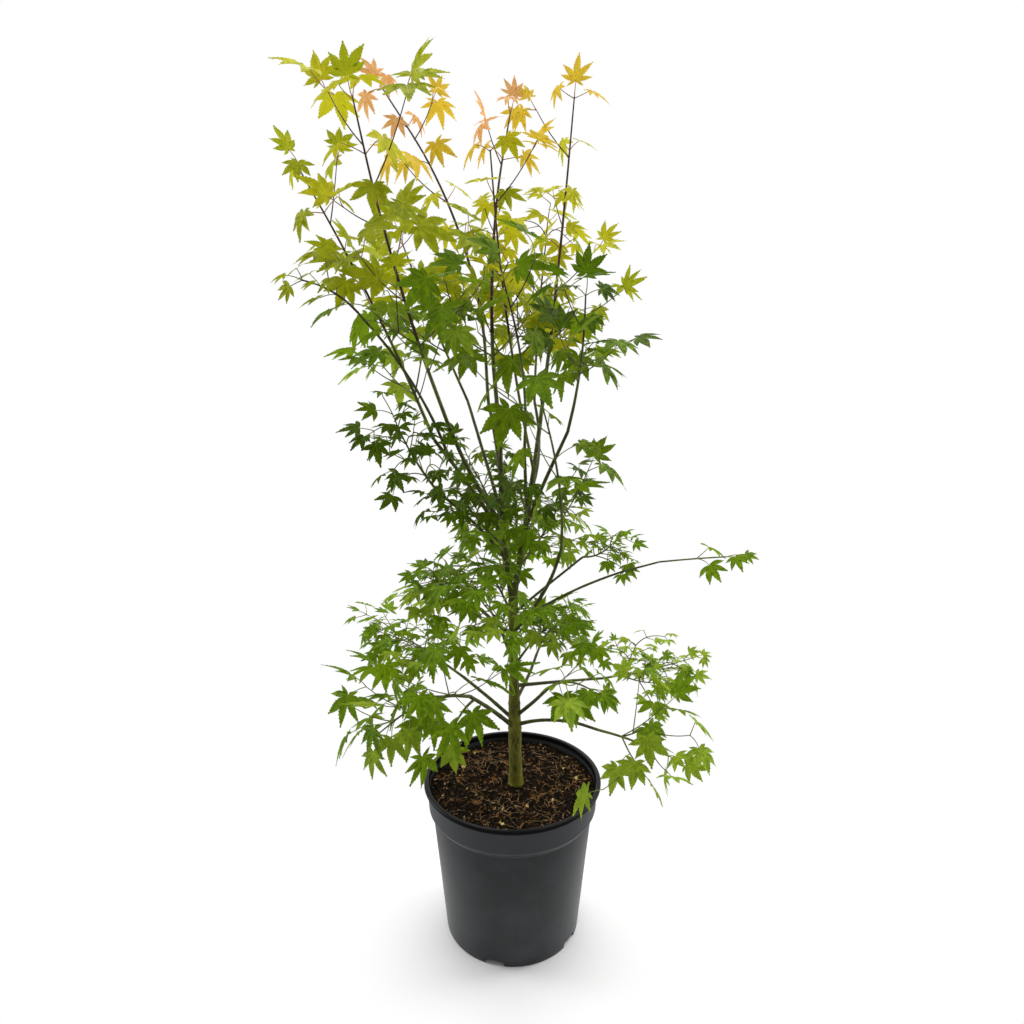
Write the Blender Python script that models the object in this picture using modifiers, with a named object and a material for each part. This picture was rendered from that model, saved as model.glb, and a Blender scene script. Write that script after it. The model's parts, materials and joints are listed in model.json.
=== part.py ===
"""A young Japanese maple in a round nursery pot.

Each limb is one tapering tube along a single smooth bend, and each mass of foliage grows on from
a limb by one seeded rule: crosswise pairs of leaves and short side twigs up a stem. Metres, +Z up,
with the origin on the floor under the middle of the pot and the front of the plant towards -Y.
"""

import math
import random
from collections import namedtuple

import bmesh
import bpy
from mathutils import Matrix, Vector, noise
from mathutils.bvhtree import BVHTree

NAME = "potted_maple"
MM = 0.001
GAP = 0.3 * MM  # clearance between pieces that touch on the real plant

# Pot: a thin moulded bucket with a collar, on a skirt with notches
POT_HEIGHT = 195 * MM
RIM_RADIUS = 105 * MM
COLLAR_HEIGHT = 35 * MM
COLLAR_RADIUS = 100.5 * MM
BODY_RADIUS = 95 * MM  # just under the collar
FOOT_RADIUS = 81 * MM
WALL = 1.8 * MM
LIP_HEIGHT = 5 * MM
FLOOR_RAISE = 8 * MM  # underside of the floor above the ground
PAD_RADIUS = 25 * MM  # flat middle of the underside, level with the skirt
NOTCH_COUNT = 5
NOTCH_WIDTH = 23 * MM
NOTCH_HEIGHT = 7 * MM
NOTCH_DEPTH = 20 * MM  # of the cutter, right through the skirt
NOTCH_CORNER = 2.5 * MM
NOTCH_TURN = math.radians(-105)  # first notch, a little left of the front
POT_SIDES = 28

# Soil
SOIL_LEVEL = 185 * MM
SOIL_LUMP = 3.0 * MM
SOIL_RINGS = (0.0, 0.18, 0.31, 0.44, 0.58, 0.73, 0.87, 1.0)  # shares of the radius
SOIL_EDGE_GAP = 0.6 * MM  # between the soil's upper edge and the wall, beyond GAP
TRUNK_SEAT = 22 * MM  # flat spot that the trunk stands on
SEAT_EASE = 20 * MM  # distance over which the lumps rise outside that spot

# Trunk
TRUNK_FOOT = Vector((0.004, 0.0, SOIL_LEVEL + GAP))
TRUNK_VIA = Vector((0.002, 0.0, 0.300))
TRUNK_TIP = Vector((0.0, 0.0, 0.417))
TRUNK_STEPS = (0, 0.013, 0.03, 0.056, 0.1, 0.19, 0.31, 0.42, 0.5, 0.58, 0.69, 0.82, 1.0)
TRUNK_RADIUS = 7.6 * MM  # below the low boughs
TRUNK_TOP_RADIUS = 4.9 * MM
TRUNK_FLARE = 2.2 * MM  # added radius right at the soil
FLARE_HEIGHT = 9 * MM
SHOULDER = (0.255, 0.345)  # heights between which the trunk thins
TRUNK_SIDES = 12

# Limbs
LIMB_SIDES = 6
LIMB_STEPS = 4
FORK_OVERLAP = 4 * MM  # a leader starts this far below the trunk's tip and is cut by it

# Leaf: five pointed lobes round the end of the stalk, in shares of the middle lobe
LOBES = ((0, 1.0), (43, 0.92), (90, 0.68))  # angle from the midrib, length
NOTCHES = ((21, 0.44), (66, 0.38))
STALK_SPREAD = (156, 0.055)
LEAF_THICKNESS = 0.034
LOBE_DROOP = 0.16  # how far the tip of a lobe hangs below the middle of the leaf
LEAF_MIDDLE = 0.07  # where the leaf is thickest, ahead of the stalk's end
STALK_SHARE = 0.62  # length of the stalk
STALK_RADIUS = 0.6 * MM
TWIG_RADIUS = 1.3 * MM
TWIG_END_RADIUS = 1.05 * MM
SIDE_STEM_RADIUS = 1.7 * MM  # stem of a mass that leaves the side of the trunk
STEM_STEPS = 4
STEM_SIDES = 4
TWIG_SIDES = 3
SKIP_MARGIN = 0.5 * MM  # a twig or leaf keeps this far from everything but its own stem
TWIG_ROOT = 6 * MM  # of a twig, not tested against the stem that it leaves
STALK_ROOT = 5 * MM  # the same of a leaf's stalk
FOLIAGE_FLOOR = 0.222  # no leaf hangs lower than this

# Growth: ranges of the seeded draws, in degrees and in shares. Each mass draws by its own name.
GROWTH_SEED = 6
FIRST_TURN = math.radians(45)  # of the lowest pair of leaves, round the stem from level
LEAF_LEAN = (45, 70)
TWIG_LEAN = (42, 62)
SIZE_RANGE = (0.84, 1.14)
STALK_RANGE = (0.8, 1.25)
TWIG_RANGE = (0.75, 1.2)
TURN_DRIFT = 0.3  # radians that a leaf strays from its place round the stem
PAIR_DRIFT = 0.35  # the same of a pair from square to the pair below it
DROOP_SPREAD = 30
ROLL_SPREAD = 38
LEAF_AT_FOOT = 1.08  # leaves are larger low on a stem than at its tip
LEAF_AT_TIP = 0.74
FLATTEN = 0.75  # how far a level shoot turns its leaves into the level plane
TURNED_FROM, TURNED_FULLY = 0.66, 0.78  # heights between which leaves turn to the light in front
FRONT_TURN = 0.6
SIDE_LIFT = 0.35  # share of a side leaf's own rise that it keeps
TIP_DROOP = 0.2  # share of the droop that a leaf at a tip takes
OUTWARD_FACE = 0.25  # how far a leaf's upper side looks outwards
TWIG_RISE = 0.12  # of a twig's tip, in shares of its length
TWIG_SAG = 0.05
TWIG_PAIRS = (0.55, 0.99)  # shares of a twig at which its pairs of leaves stand
SLEEVE = 1.75  # radius of a mass's space round its stem, in lobe lengths

Limb = namedtuple("Limb", "name parent height via tip radii")
Mass = namedtuple("Mass", "name parent height via tip nodes twigs twig leaf droop bare")

# Limbs: parent, height where they leave it (None for its tip), a point they pass, tip, radii in mm
LIMBS = (
    Limb("leader_left", "trunk", None, (-0.009, 0.006, 0.490), (-0.013, 0.002, 0.600), (3.6, 2.5)),
    Limb("leader_right", "trunk", None, (0.011, 0.003, 0.480), (0.031, 0.045, 0.610), (3.8, 2.4)),
    Limb("bough_left", "leader_left", 0.500,
         (-0.042, -0.016, 0.560), (-0.067, -0.030, 0.621), (2.6, 2.0)),
    Limb("bough_outer_left", "leader_left", 0.486,
         (-0.045, 0.008, 0.543), (-0.084, 0.002, 0.598), (2.5, 1.9)),
    Limb("bough_spray_left", "bough_outer_left", 0.575,
         (-0.100, -0.020, 0.655), (-0.147, -0.060, 0.728), (1.6, 1.2)),
    Limb("bough_side_left", "leader_left", 0.462,
         (-0.044, -0.012, 0.512), (-0.078, -0.022, 0.545), (2.0, 1.5)),
    Limb("bough_rear_left", "leader_left", 0.510,
         (-0.030, 0.035, 0.570), (-0.052, 0.078, 0.633), (2.1, 1.6)),
    Limb("bough_inner_left", "leader_left", 0.540,
         (-0.018, 0.030, 0.590), (-0.027, 0.045, 0.635), (2.3, 1.9)),
    Limb("bough_right", "leader_right", 0.498,
         (0.034, -0.018, 0.556), (0.056, -0.038, 0.611), (2.3, 1.7)),
    Limb("bough_front_right", "trunk", 0.378, (0.029, -0.022, 0.425), (0.050, -0.062, 0.495), (2.3, 1.6)),
    Limb("bough_fan_right", "trunk", 0.400, (0.045, 0.006, 0.437), (0.080, 0.018, 0.462), (1.6, 1.2)),
    Limb("bough_long_right", "trunk", 0.386, (0.078, -0.004, 0.434), (0.160, -0.014, 0.466), (1.7, 1.0)),
    Limb("bough_low_right", "trunk", 0.262, (0.045, -0.016, 0.277), (0.095, -0.045, 0.281), (2.2, 1.5)),
    Limb("bough_low_front", "trunk", 0.272, (0.022, -0.014, 0.297), (0.040, -0.034, 0.326), (2.3, 1.7)),
    Limb("bough_flat_right", "trunk", 0.312, (0.052, 0.018, 0.308), (0.110, 0.036, 0.304), (2.1, 1.4)),
    Limb("bough_low_left", "trunk", 0.258, (-0.020, -0.020, 0.289), (-0.047, -0.046, 0.322), (2.7, 2.0)),
    Limb("bough_low_rear_left", "trunk", 0.268,
         (-0.022, 0.014, 0.284), (-0.060, 0.044, 0.302), (2.3, 1.7)),
    Limb("bough_mid_left", "trunk", 0.372, (-0.022, -0.008, 0.396), (-0.042, -0.016, 0.418), (2.0, 1.6)),
    Limb("bough_mid_rear", "trunk", 0.350, (0.004, 0.028, 0.385), (0.006, 0.058, 0.425), (2.2, 1.7)),
    Limb("bough_low_rear", "trunk", 0.290, (0.016, 0.026, 0.305), (0.030, 0.060, 0.325), (2.2, 1.6)),
    Limb("bough_mid_front", "trunk", 0.345, (-0.006, -0.024, 0.372), (-0.012, -0.052, 0.405), (2.2, 1.7)),
    Limb("bough_upper_front", "leader_right", 0.510,
         (0.014, -0.024, 0.550), (0.012, -0.055, 0.595), (2.0, 1.6)),
    Limb("bough_upper_rear", "leader_right", 0.535,
         (0.030, 0.052, 0.575), (0.026, 0.092, 0.632), (2.0, 1.6)),
)

# Foliage: stem route, leaf nodes, nodes that bear twigs, twig length, lobe length, droop in
# degrees, bare share of the stem
MASSES = (
    Mass("foliage_outer_left", "bough_outer_left", None,
         (-0.134, 0.000, 0.717), (-0.203, -0.025, 0.860), 7, 1, 0.060, 0.045, 45, 0.04),
    Mass("foliage_left", "bough_left", None,
         (-0.107, -0.050, 0.751), (-0.140, -0.078, 0.910), 6, 1, 0.060, 0.052, 40, 0.12),
    Mass("foliage_rear_left", "bough_rear_left", None,
         (-0.090, 0.088, 0.720), (-0.122, 0.078, 0.806), 4, 1, 0.060, 0.050, 40, 0.10),
    Mass("foliage_inner_left", "bough_inner_left", None,
         (-0.046, 0.050, 0.780), (-0.134, 0.050, 0.955), 7, 1, 0.055, 0.042, 45, 0.15),
    Mass("foliage_centre", "leader_left", None,
         (-0.020, 0.008, 0.790), (-0.002, 0.048, 0.932), 6, 1, 0.050, 0.040, 45, 0.10),
    Mass("foliage_right", "leader_right", None,
         (0.053, 0.078, 0.800), (0.066, 0.080, 0.955), 6, 1, 0.050, 0.040, 45, 0.12),
    Mass("foliage_outer_right", "bough_right", None,
         (0.068, -0.050, 0.690), (0.070, -0.054, 0.745), 4, 1, 0.026, 0.040, 40, 0.20),
    Mass("foliage_upper_front", "bough_upper_front", None,
         (0.010, -0.080, 0.670), (-0.008, -0.095, 0.755), 5, 0, 0.045, 0.050, 45, 0.05),
    Mass("foliage_upper_rear", "bough_upper_rear", None,
         (0.030, 0.120, 0.710), (0.040, 0.130, 0.820), 5, 1, 0.050, 0.046, 40, 0.10),
    Mass("foliage_front_right", "bough_front_right", None,
         (0.046, -0.088, 0.560), (0.026, -0.095, 0.650), 5, 0, 0.045, 0.048, 40, 0.10),
    Mass("foliage_fan_right", "bough_fan_right", None,
         (0.092, 0.022, 0.462), (0.112, 0.028, 0.472), 4, 0, 0.040, 0.032, 25, 0.20),
    Mass("foliage_long_right", "bough_long_right", None,
         (0.200, -0.024, 0.473), (0.228, -0.034, 0.478), 2, 0, 0.040, 0.036, 20, 0.12),
    Mass("foliage_low_right", "bough_low_right", None,
         (0.135, -0.066, 0.278), (0.166, -0.084, 0.272), 4, 1, 0.040, 0.042, 38, 0.12),
    Mass("foliage_low_front", "bough_low_front", None,
         (0.058, -0.056, 0.344), (0.080, -0.084, 0.350), 4, 0, 0.045, 0.045, 20, 0.05),
    Mass("foliage_flat_right", "bough_flat_right", None,
         (0.155, 0.052, 0.305), (0.200, 0.070, 0.307), 5, 1, 0.045, 0.038, 25, 0.05),
    Mass("foliage_low_left", "bough_low_left", None,
         (-0.090, -0.082, 0.334), (-0.136, -0.106, 0.312), 6, 1, 0.055, 0.050, 60, 0.05),
    Mass("foliage_low_rear_left", "bough_low_rear_left", None,
         (-0.108, 0.075, 0.322), (-0.150, 0.092, 0.342), 5, 1, 0.050, 0.047, 15, 0.08),
    Mass("foliage_mid_left", "bough_mid_left", None,
         (-0.062, -0.024, 0.436), (-0.080, -0.032, 0.448), 4, 1, 0.040, 0.040, 25, 0.05),
    Mass("foliage_mid_rear", "bough_mid_rear", None,
         (0.006, 0.088, 0.470), (0.000, 0.100, 0.520), 5, 1, 0.050, 0.043, 30, 0.05),
    Mass("foliage_low_rear", "bough_low_rear", None,
         (0.045, 0.092, 0.340), (0.060, 0.115, 0.345), 4, 1, 0.050, 0.045, 20, 0.05),
    Mass("foliage_mid_front", "bough_mid_front", None,
         (-0.020, -0.074, 0.428), (-0.028, -0.092, 0.445), 4, 0, 0.045, 0.045, 30, 0.05),
    Mass("foliage_upper_centre", "leader_right", 0.560,
         (-0.005, -0.008, 0.720), (-0.022, 0.000, 0.885), 6, 1, 0.050, 0.042, 40, 0.25),
    Mass("foliage_spray_left", "bough_spray_left", None,
         (-0.174, -0.070, 0.750), (-0.194, -0.078, 0.757), 3, 0, 0.030, 0.032, 25, 0.15),
    Mass("foliage_side_left", "bough_side_left", None,
         (-0.098, -0.026, 0.575), (-0.118, -0.028, 0.615), 4, 0, 0.045, 0.041, 30, 0.05),
    Mass("foliage_stem_left", "leader_left", 0.478,
         (-0.030, -0.030, 0.510), (-0.052, -0.048, 0.545), 4, 0, 0.045, 0.038, 30, 0.25),
    Mass("foliage_stem_rear", "leader_left", 0.475,
         (-0.025, 0.040, 0.520), (-0.048, 0.065, 0.560), 4, 0, 0.045, 0.040, 30, 0.25),
    Mass("foliage_stem_right", "leader_right", 0.455,
         (0.036, 0.022, 0.490), (0.058, 0.034, 0.530), 4, 0, 0.045, 0.038, 30, 0.25),
    Mass("foliage_stem_front", "leader_right", 0.470,
         (0.016, -0.035, 0.510), (0.010, -0.052, 0.545), 4, 0, 0.045, 0.040, 30, 0.25),
    Mass("foliage_trunk_rear", "trunk", 0.395,
         (-0.016, 0.024, 0.424), (-0.034, 0.046, 0.446), 4, 0, 0.045, 0.038, 30, 0.30),
    Mass("foliage_trunk_right", "trunk", 0.335,
         (0.024, 0.012, 0.362), (0.045, 0.022, 0.380), 4, 0, 0.045, 0.038, 30, 0.30),
    Mass("foliage_low_hanging", "bough_low_left", 0.316,
         (-0.058, -0.064, 0.306), (-0.066, -0.074, 0.292), 1, 0, 0.030, 0.043, 50, 0.90),
)

COLOURS = {  # linear base colour, roughness
    "pot": ((0.022, 0.023, 0.026), 0.42),
    "soil": ((0.030, 0.016, 0.010), 0.95),
    "trunk": ((0.100, 0.105, 0.040), 0.75),
    "bough": ((0.085, 0.080, 0.035), 0.70),
    "foliage": ((0.090, 0.210, 0.018), 0.50),
}


def clear_scene():
    for item in list(bpy.data.objects):
        bpy.data.objects.remove(item, do_unlink=True)


def new_collection(name):
    collection = bpy.data.collections.new(name)
    bpy.context.scene.collection.children.link(collection)
    return collection


def material(name, kind):
    colour, roughness = COLOURS[kind]
    made = bpy.data.materials.new(name)
    made.use_nodes = True
    shader = made.node_tree.nodes["Principled BSDF"]
    shader.inputs["Base Color"].default_value = (*colour, 1.0)
    shader.inputs["Roughness"].default_value = roughness
    shader.inputs["Metallic"].default_value = 0.0
    return made


def mesh_object(name, mesh, collection):
    made = bpy.data.objects.new(name, mesh)
    collection.objects.link(made)
    return made


def evaluated_mesh(source):
    """The object's mesh with its modifiers applied, welded, in world space."""
    graph = bpy.context.evaluated_depsgraph_get()
    mesh = bpy.data.meshes.new_from_object(source.evaluated_get(graph))
    mesh.transform(source.matrix_world)
    work = bmesh.new()
    work.from_mesh(mesh)
    bmesh.ops.remove_doubles(work, verts=work.verts, dist=0.001 * MM)
    bmesh.ops.recalc_face_normals(work, faces=work.faces)
    work.to_mesh(mesh)
    work.free()
    return mesh


# Routes and tubes

def evenly(count):
    return [i / count for i in range(count + 1)]


def route(foot, via, tip, steps):
    """Points along one smooth bend from foot to tip that passes through via."""
    before, after = (via - foot).length, (tip - via).length
    share = before / (before + after)
    bend = (via - foot * (1 - share) ** 2 - tip * share ** 2) / (2 * share * (1 - share))
    return [foot * (1 - t) ** 2 + bend * (2 * t * (1 - t)) + tip * t ** 2 for t in steps]


def tapered(first, last, count):
    return [first + (last - first) * t for t in evenly(count)]


def section_curve(sides, collection):
    """A closed polygon of unit radius that a tube is swept with."""
    curve = bpy.data.curves.new(f"section_{sides}", "CURVE")
    curve.dimensions = "2D"
    spline = curve.splines.new("POLY")
    spline.points.add(sides - 1)
    for i, point in enumerate(spline.points):
        angle = math.tau * i / sides
        point.co = (math.cos(angle), math.sin(angle), 0.0, 1.0)
    spline.use_cyclic_u = True
    return mesh_object(curve.name, curve, collection)


clear_scene()
CUTTERS = new_collection("cutters")
WORKSHOP = new_collection("workshop")  # blanks and holders, removed once used
SECTIONS = {
    sides: section_curve(sides, WORKSHOP)
    for sides in (TWIG_SIDES, STEM_SIDES, LIMB_SIDES, TRUNK_SIDES)
}


def tube_mesh(points, radii, sides):
    """A capped tube through the points, as a welded mesh."""
    curve = bpy.data.curves.new("tube", "CURVE")
    curve.dimensions = "3D"
    curve.bevel_mode = "OBJECT"
    curve.bevel_object = SECTIONS[sides]
    curve.use_fill_caps = True
    spline = curve.splines.new("POLY")
    spline.points.add(len(points) - 1)
    for point, place, radius in zip(spline.points, points, radii):
        point.co = (*place, 1.0)
        point.radius = radius
    holder = mesh_object("tube", curve, WORKSHOP)
    bpy.context.view_layer.update()
    mesh = evaluated_mesh(holder)
    bpy.data.objects.remove(holder, do_unlink=True)
    bpy.data.curves.remove(curve)
    return mesh


def keep_largest(mesh):
    """Drops the scraps that a cut leaves: only the island with the most faces stays."""
    work = bmesh.new()
    work.from_mesh(mesh)
    islands, seen = [], set()
    for start in work.faces:
        if start in seen:
            continue
        seen.add(start)
        island, waiting = [], [start]
        while waiting:
            face = waiting.pop()
            island.append(face)
            shared = [edge for edge in face.edges if len(edge.link_faces) == 2]
            for other in {f for edge in shared for f in edge.link_faces} - seen:
                seen.add(other)
                waiting.append(other)
        islands.append(island)
    islands.sort(key=len)
    scraps = [face for island in islands[:-1] for face in island]
    bmesh.ops.delete(work, geom=scraps, context="FACES")
    work.to_mesh(mesh)
    work.free()
    return mesh


def cut(mesh, cutter_meshes):
    """The mesh with each cutter taken away from it."""
    holder = mesh_object("cut", mesh, WORKSHOP)
    cutters = [mesh_object("cutter", cutter.copy(), WORKSHOP) for cutter in cutter_meshes]
    for cutter in cutters:
        cutter.hide_render = True
        cutter.display_type = "WIRE"
        knife = holder.modifiers.new("cut", "BOOLEAN")
        knife.operation = "DIFFERENCE"
        knife.object = cutter
    bpy.context.view_layer.update()
    result = keep_largest(evaluated_mesh(holder))
    for item in (holder, *cutters):
        bpy.data.objects.remove(item, do_unlink=True)
    return result


# What is already in place, so that no twig or leaf runs into it

class Obstacles:
    """Search trees of the pieces that stand, each with its box."""

    def __init__(self):
        self.pieces = []

    @staticmethod
    def box(mesh):
        corners = [vert.co for vert in mesh.vertices]
        low = Vector([min(c[axis] for c in corners) for axis in range(3)])
        high = Vector([max(c[axis] for c in corners) for axis in range(3)])
        return low, high

    def add(self, mesh, owner):
        polygons = [tuple(face.vertices) for face in mesh.polygons]
        tree = BVHTree.FromPolygons([vert.co for vert in mesh.vertices], polygons)
        low, high = self.box(mesh)
        self.pieces.append((low, high, tree, owner))

    def hit_by(self, mesh, spare=None):
        low, high = self.box(mesh)
        polygons = [tuple(face.vertices) for face in mesh.polygons]
        tree = BVHTree.FromPolygons([vert.co for vert in mesh.vertices], polygons)
        for other_low, other_high, other, owner in self.pieces:
            if owner == spare:
                continue
            apart = any(high[a] < other_low[a] or low[a] > other_high[a] for a in range(3))
            if not apart and tree.overlap(other):
                return True
        return False


# Pot and soil

def turned(name, profile, collection):
    """A round body from a profile of (radius, height) that runs down its outer side."""
    mesh = bpy.data.meshes.new(name)
    work = bmesh.new()
    verts = [work.verts.new((radius, 0.0, height)) for radius, height in profile]
    for first, second in zip(verts, verts[1:]):
        work.edges.new((first, second))
    work.to_mesh(mesh)
    work.free()
    body = mesh_object(name, mesh, collection)
    screw = body.modifiers.new("turn", "SCREW")
    screw.steps = POT_SIDES
    screw.render_steps = POT_SIDES
    screw.use_merge_vertices = True
    screw.merge_threshold = 0.01 * MM
    screw.use_smooth_shade = False
    return body


def body_radius(height):
    """Outer radius of the tapering body below the collar."""
    top = POT_HEIGHT - COLLAR_HEIGHT
    return FOOT_RADIUS + (BODY_RADIUS - FOOT_RADIUS) * height / top


def inner_wall(clear):
    """The inside of the pot from the floor to the lip, moved inwards by clear."""
    step = POT_HEIGHT - COLLAR_HEIGHT
    floor = FLOOR_RAISE + WALL
    return [
        (body_radius(floor) - WALL - clear, floor + clear),
        (body_radius(step) - WALL - clear, step - WALL + clear),
        (COLLAR_RADIUS - 1.2 * MM - WALL - clear, step + 1 * MM + clear),
        (COLLAR_RADIUS - WALL - clear, POT_HEIGHT - LIP_HEIGHT),
    ]


def make_pot(collection):
    step = POT_HEIGHT - COLLAR_HEIGHT
    profile = [(0.0, FLOOR_RAISE + WALL), *inner_wall(0.0)]
    profile += [
        (COLLAR_RADIUS - 1.0 * MM, POT_HEIGHT - 0.6 * MM),
        (COLLAR_RADIUS - 0.2 * MM, POT_HEIGHT),
        (RIM_RADIUS - 1.0 * MM, POT_HEIGHT),
        (RIM_RADIUS, POT_HEIGHT - 1.2 * MM),
        (RIM_RADIUS, POT_HEIGHT - LIP_HEIGHT + 0.8 * MM),
        (COLLAR_RADIUS + 0.3 * MM, POT_HEIGHT - LIP_HEIGHT - 1.2 * MM),
        (COLLAR_RADIUS - 1.0 * MM, step + 0.8 * MM),
        (COLLAR_RADIUS - 1.8 * MM, step),
        (BODY_RADIUS, step - 1.4 * MM),
        (FOOT_RADIUS, 0.8 * MM),
        (FOOT_RADIUS - 0.7 * MM, 0.0),
        (FOOT_RADIUS - 2.4 * MM, 0.0),
        (FOOT_RADIUS - 2.8 * MM, FLOOR_RAISE),
        (PAD_RADIUS + 2 * MM, FLOOR_RAISE),
        (PAD_RADIUS, 0.0),
        (0.0, 0.0),
    ]
    pot = turned("pot_blank", profile, WORKSHOP)
    cutters = bpy.data.collections.new("notches")
    CUTTERS.children.link(cutters)
    for i in range(NOTCH_COUNT):
        angle = NOTCH_TURN + math.tau * i / NOTCH_COUNT
        mesh = bpy.data.meshes.new(f"notch_{i + 1}")
        work = bmesh.new()
        bmesh.ops.create_cube(work, size=1.0)
        work.to_mesh(mesh)
        work.free()
        mesh.transform(Matrix.Diagonal((NOTCH_DEPTH, NOTCH_WIDTH, 2 * NOTCH_HEIGHT, 1.0)))
        notch = mesh_object(mesh.name, mesh, cutters)
        notch.location = (FOOT_RADIUS * math.cos(angle), FOOT_RADIUS * math.sin(angle), 0.0)
        notch.rotation_euler.z = angle
        notch.hide_render = True
        notch.display_type = "WIRE"
        corner = notch.modifiers.new("corner", "BEVEL")
        corner.width = NOTCH_CORNER
        corner.segments = 2
    knife = pot.modifiers.new("notches", "BOOLEAN")
    knife.operation = "DIFFERENCE"
    knife.operand_type = "COLLECTION"
    knife.collection = cutters
    bpy.context.view_layer.update()
    mesh = evaluated_mesh(pot)
    for item in (pot, *list(cutters.objects)):
        bpy.data.objects.remove(item, do_unlink=True)
    mesh.materials.append(material("pot_plastic", "pot"))
    return mesh_object("pot", mesh, collection)


def soil_height(x, y):
    """Level of the lumpy soil, flat where the trunk stands and a little lower at the wall."""
    from_trunk = math.hypot(x - TRUNK_FOOT.x, y - TRUNK_FOOT.y)
    ease = min(1.0, max(0.0, (from_trunk - TRUNK_SEAT) / SEAT_EASE))
    lump = noise.noise(Vector((x * 38, y * 38, 1.7))) + 0.5 * noise.noise(Vector((x * 90, y * 90, 5.2)))
    return SOIL_LEVEL + SOIL_LUMP * lump * ease


def make_soil(collection):
    wall = inner_wall(GAP)
    edge_radius = COLLAR_RADIUS - WALL - GAP - SOIL_EDGE_GAP
    rings = [(edge_radius * share, SOIL_LEVEL) for share in SOIL_RINGS]
    body = turned("soil", rings + list(reversed(wall[:3])) + [(0.0, wall[0][1])], collection)
    bpy.context.view_layer.update()
    mesh = evaluated_mesh(body)
    bpy.data.objects.remove(body, do_unlink=True)
    for vert in mesh.vertices:
        if vert.co.z > SOIL_LEVEL - 0.1 * MM:
            vert.co.z = soil_height(vert.co.x, vert.co.y)
    mesh.materials.append(material("potting_soil", "soil"))
    return mesh_object("soil", mesh, collection)


# Trunk and boughs

def trunk_radius(height):
    """Stout below the low boughs, thinner above them, flared at the soil."""
    low, high = SHOULDER
    t = min(1.0, max(0.0, (height - low) / (high - low)))
    ease = t * t * (3 - 2 * t)
    flare = TRUNK_FLARE * math.exp(-(height - TRUNK_FOOT.z) / FLARE_HEIGHT)
    return TRUNK_RADIUS + (TRUNK_TOP_RADIUS - TRUNK_RADIUS) * ease + flare


def trunk_route():
    """Up the trunk, plumb over its first step so that it is cut level at the soil."""
    points = route(TRUNK_FOOT, TRUNK_VIA, TRUNK_TIP, TRUNK_STEPS)
    points[0].x, points[0].y = points[1].x, points[1].y
    return points


class Skeleton:
    """Routes, radii, meshes and 0.3 mm larger cutters of the limbs, by name."""

    def __init__(self):
        self.routes, self.radii, self.meshes, self.cutters = {}, {}, {}, {}

    def add(self, name, points, radii, sides, mesh):
        self.routes[name], self.radii[name], self.meshes[name] = points, radii, mesh
        ends = [points[0], *points[1:-1], points[-1] + (points[-1] - points[-2]).normalized() * GAP]
        self.cutters[name] = tube_mesh(ends, [radius + GAP for radius in radii], sides)

    def foot(self, parent, height):
        """Where a limb or stem leaves its parent: at a height, or at the tip."""
        points = self.routes[parent]
        if height is None:
            return points[-1] + (points[-1] - points[-2]).normalized() * GAP
        for low, high in zip(points, points[1:]):
            if low.z <= height <= high.z:
                return low.lerp(high, (height - low.z) / (high.z - low.z))
        return min(points, key=lambda p: abs(p.z - height)).copy()

    def near(self, mesh):
        """Names of the limbs that a mesh runs into."""
        tree = BVHTree.FromPolygons(
            [v.co for v in mesh.vertices], [tuple(f.vertices) for f in mesh.polygons])
        hits = []
        for name, cutter in self.cutters.items():
            other = BVHTree.FromPolygons(
                [v.co for v in cutter.vertices], [tuple(f.vertices) for f in cutter.polygons])
            if tree.overlap(other):
                hits.append(name)
        return hits


def make_limbs(skeleton, collection):
    points = trunk_route()
    radii = [trunk_radius(p.z) for p in points]
    trunk = tube_mesh(points, radii, TRUNK_SIDES)
    skeleton.add("trunk", points, radii, TRUNK_SIDES, trunk)
    trunk.materials.append(material("trunk_bark", "trunk"))
    mesh_object("trunk", trunk, collection).data.shade_smooth()
    for limb in LIMBS:
        foot = skeleton.foot(limb.parent, limb.height)
        if limb.height is None:
            foot -= Vector((0.0, 0.0, FORK_OVERLAP))
        points = route(foot, Vector(limb.via), Vector(limb.tip), evenly(LIMB_STEPS))
        radii = tapered(limb.radii[0] * MM, limb.radii[1] * MM, LIMB_STEPS)
        mesh = tube_mesh(points, radii, LIMB_SIDES)
        hits = skeleton.near(mesh)
        mesh = cut(mesh, [skeleton.cutters[name] for name in hits])
        skeleton.add(limb.name, points, radii, LIMB_SIDES, mesh)
        mesh.materials.append(material(f"{limb.name}_bark", "bough"))
        mesh_object(limb.name, mesh, collection).data.shade_smooth()


# Leaves

def leaf_outline():
    """Right base, five lobes with the notches between them, left base: (angle, length)."""
    half = sorted([*LOBES[1:], *NOTCHES, STALK_SPREAD])
    left = [(math.radians(angle), length) for angle, length in half]
    right = [(-angle, length) for angle, length in reversed(left)]
    return right + [(0.0, LOBES[0][1])] + left


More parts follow.
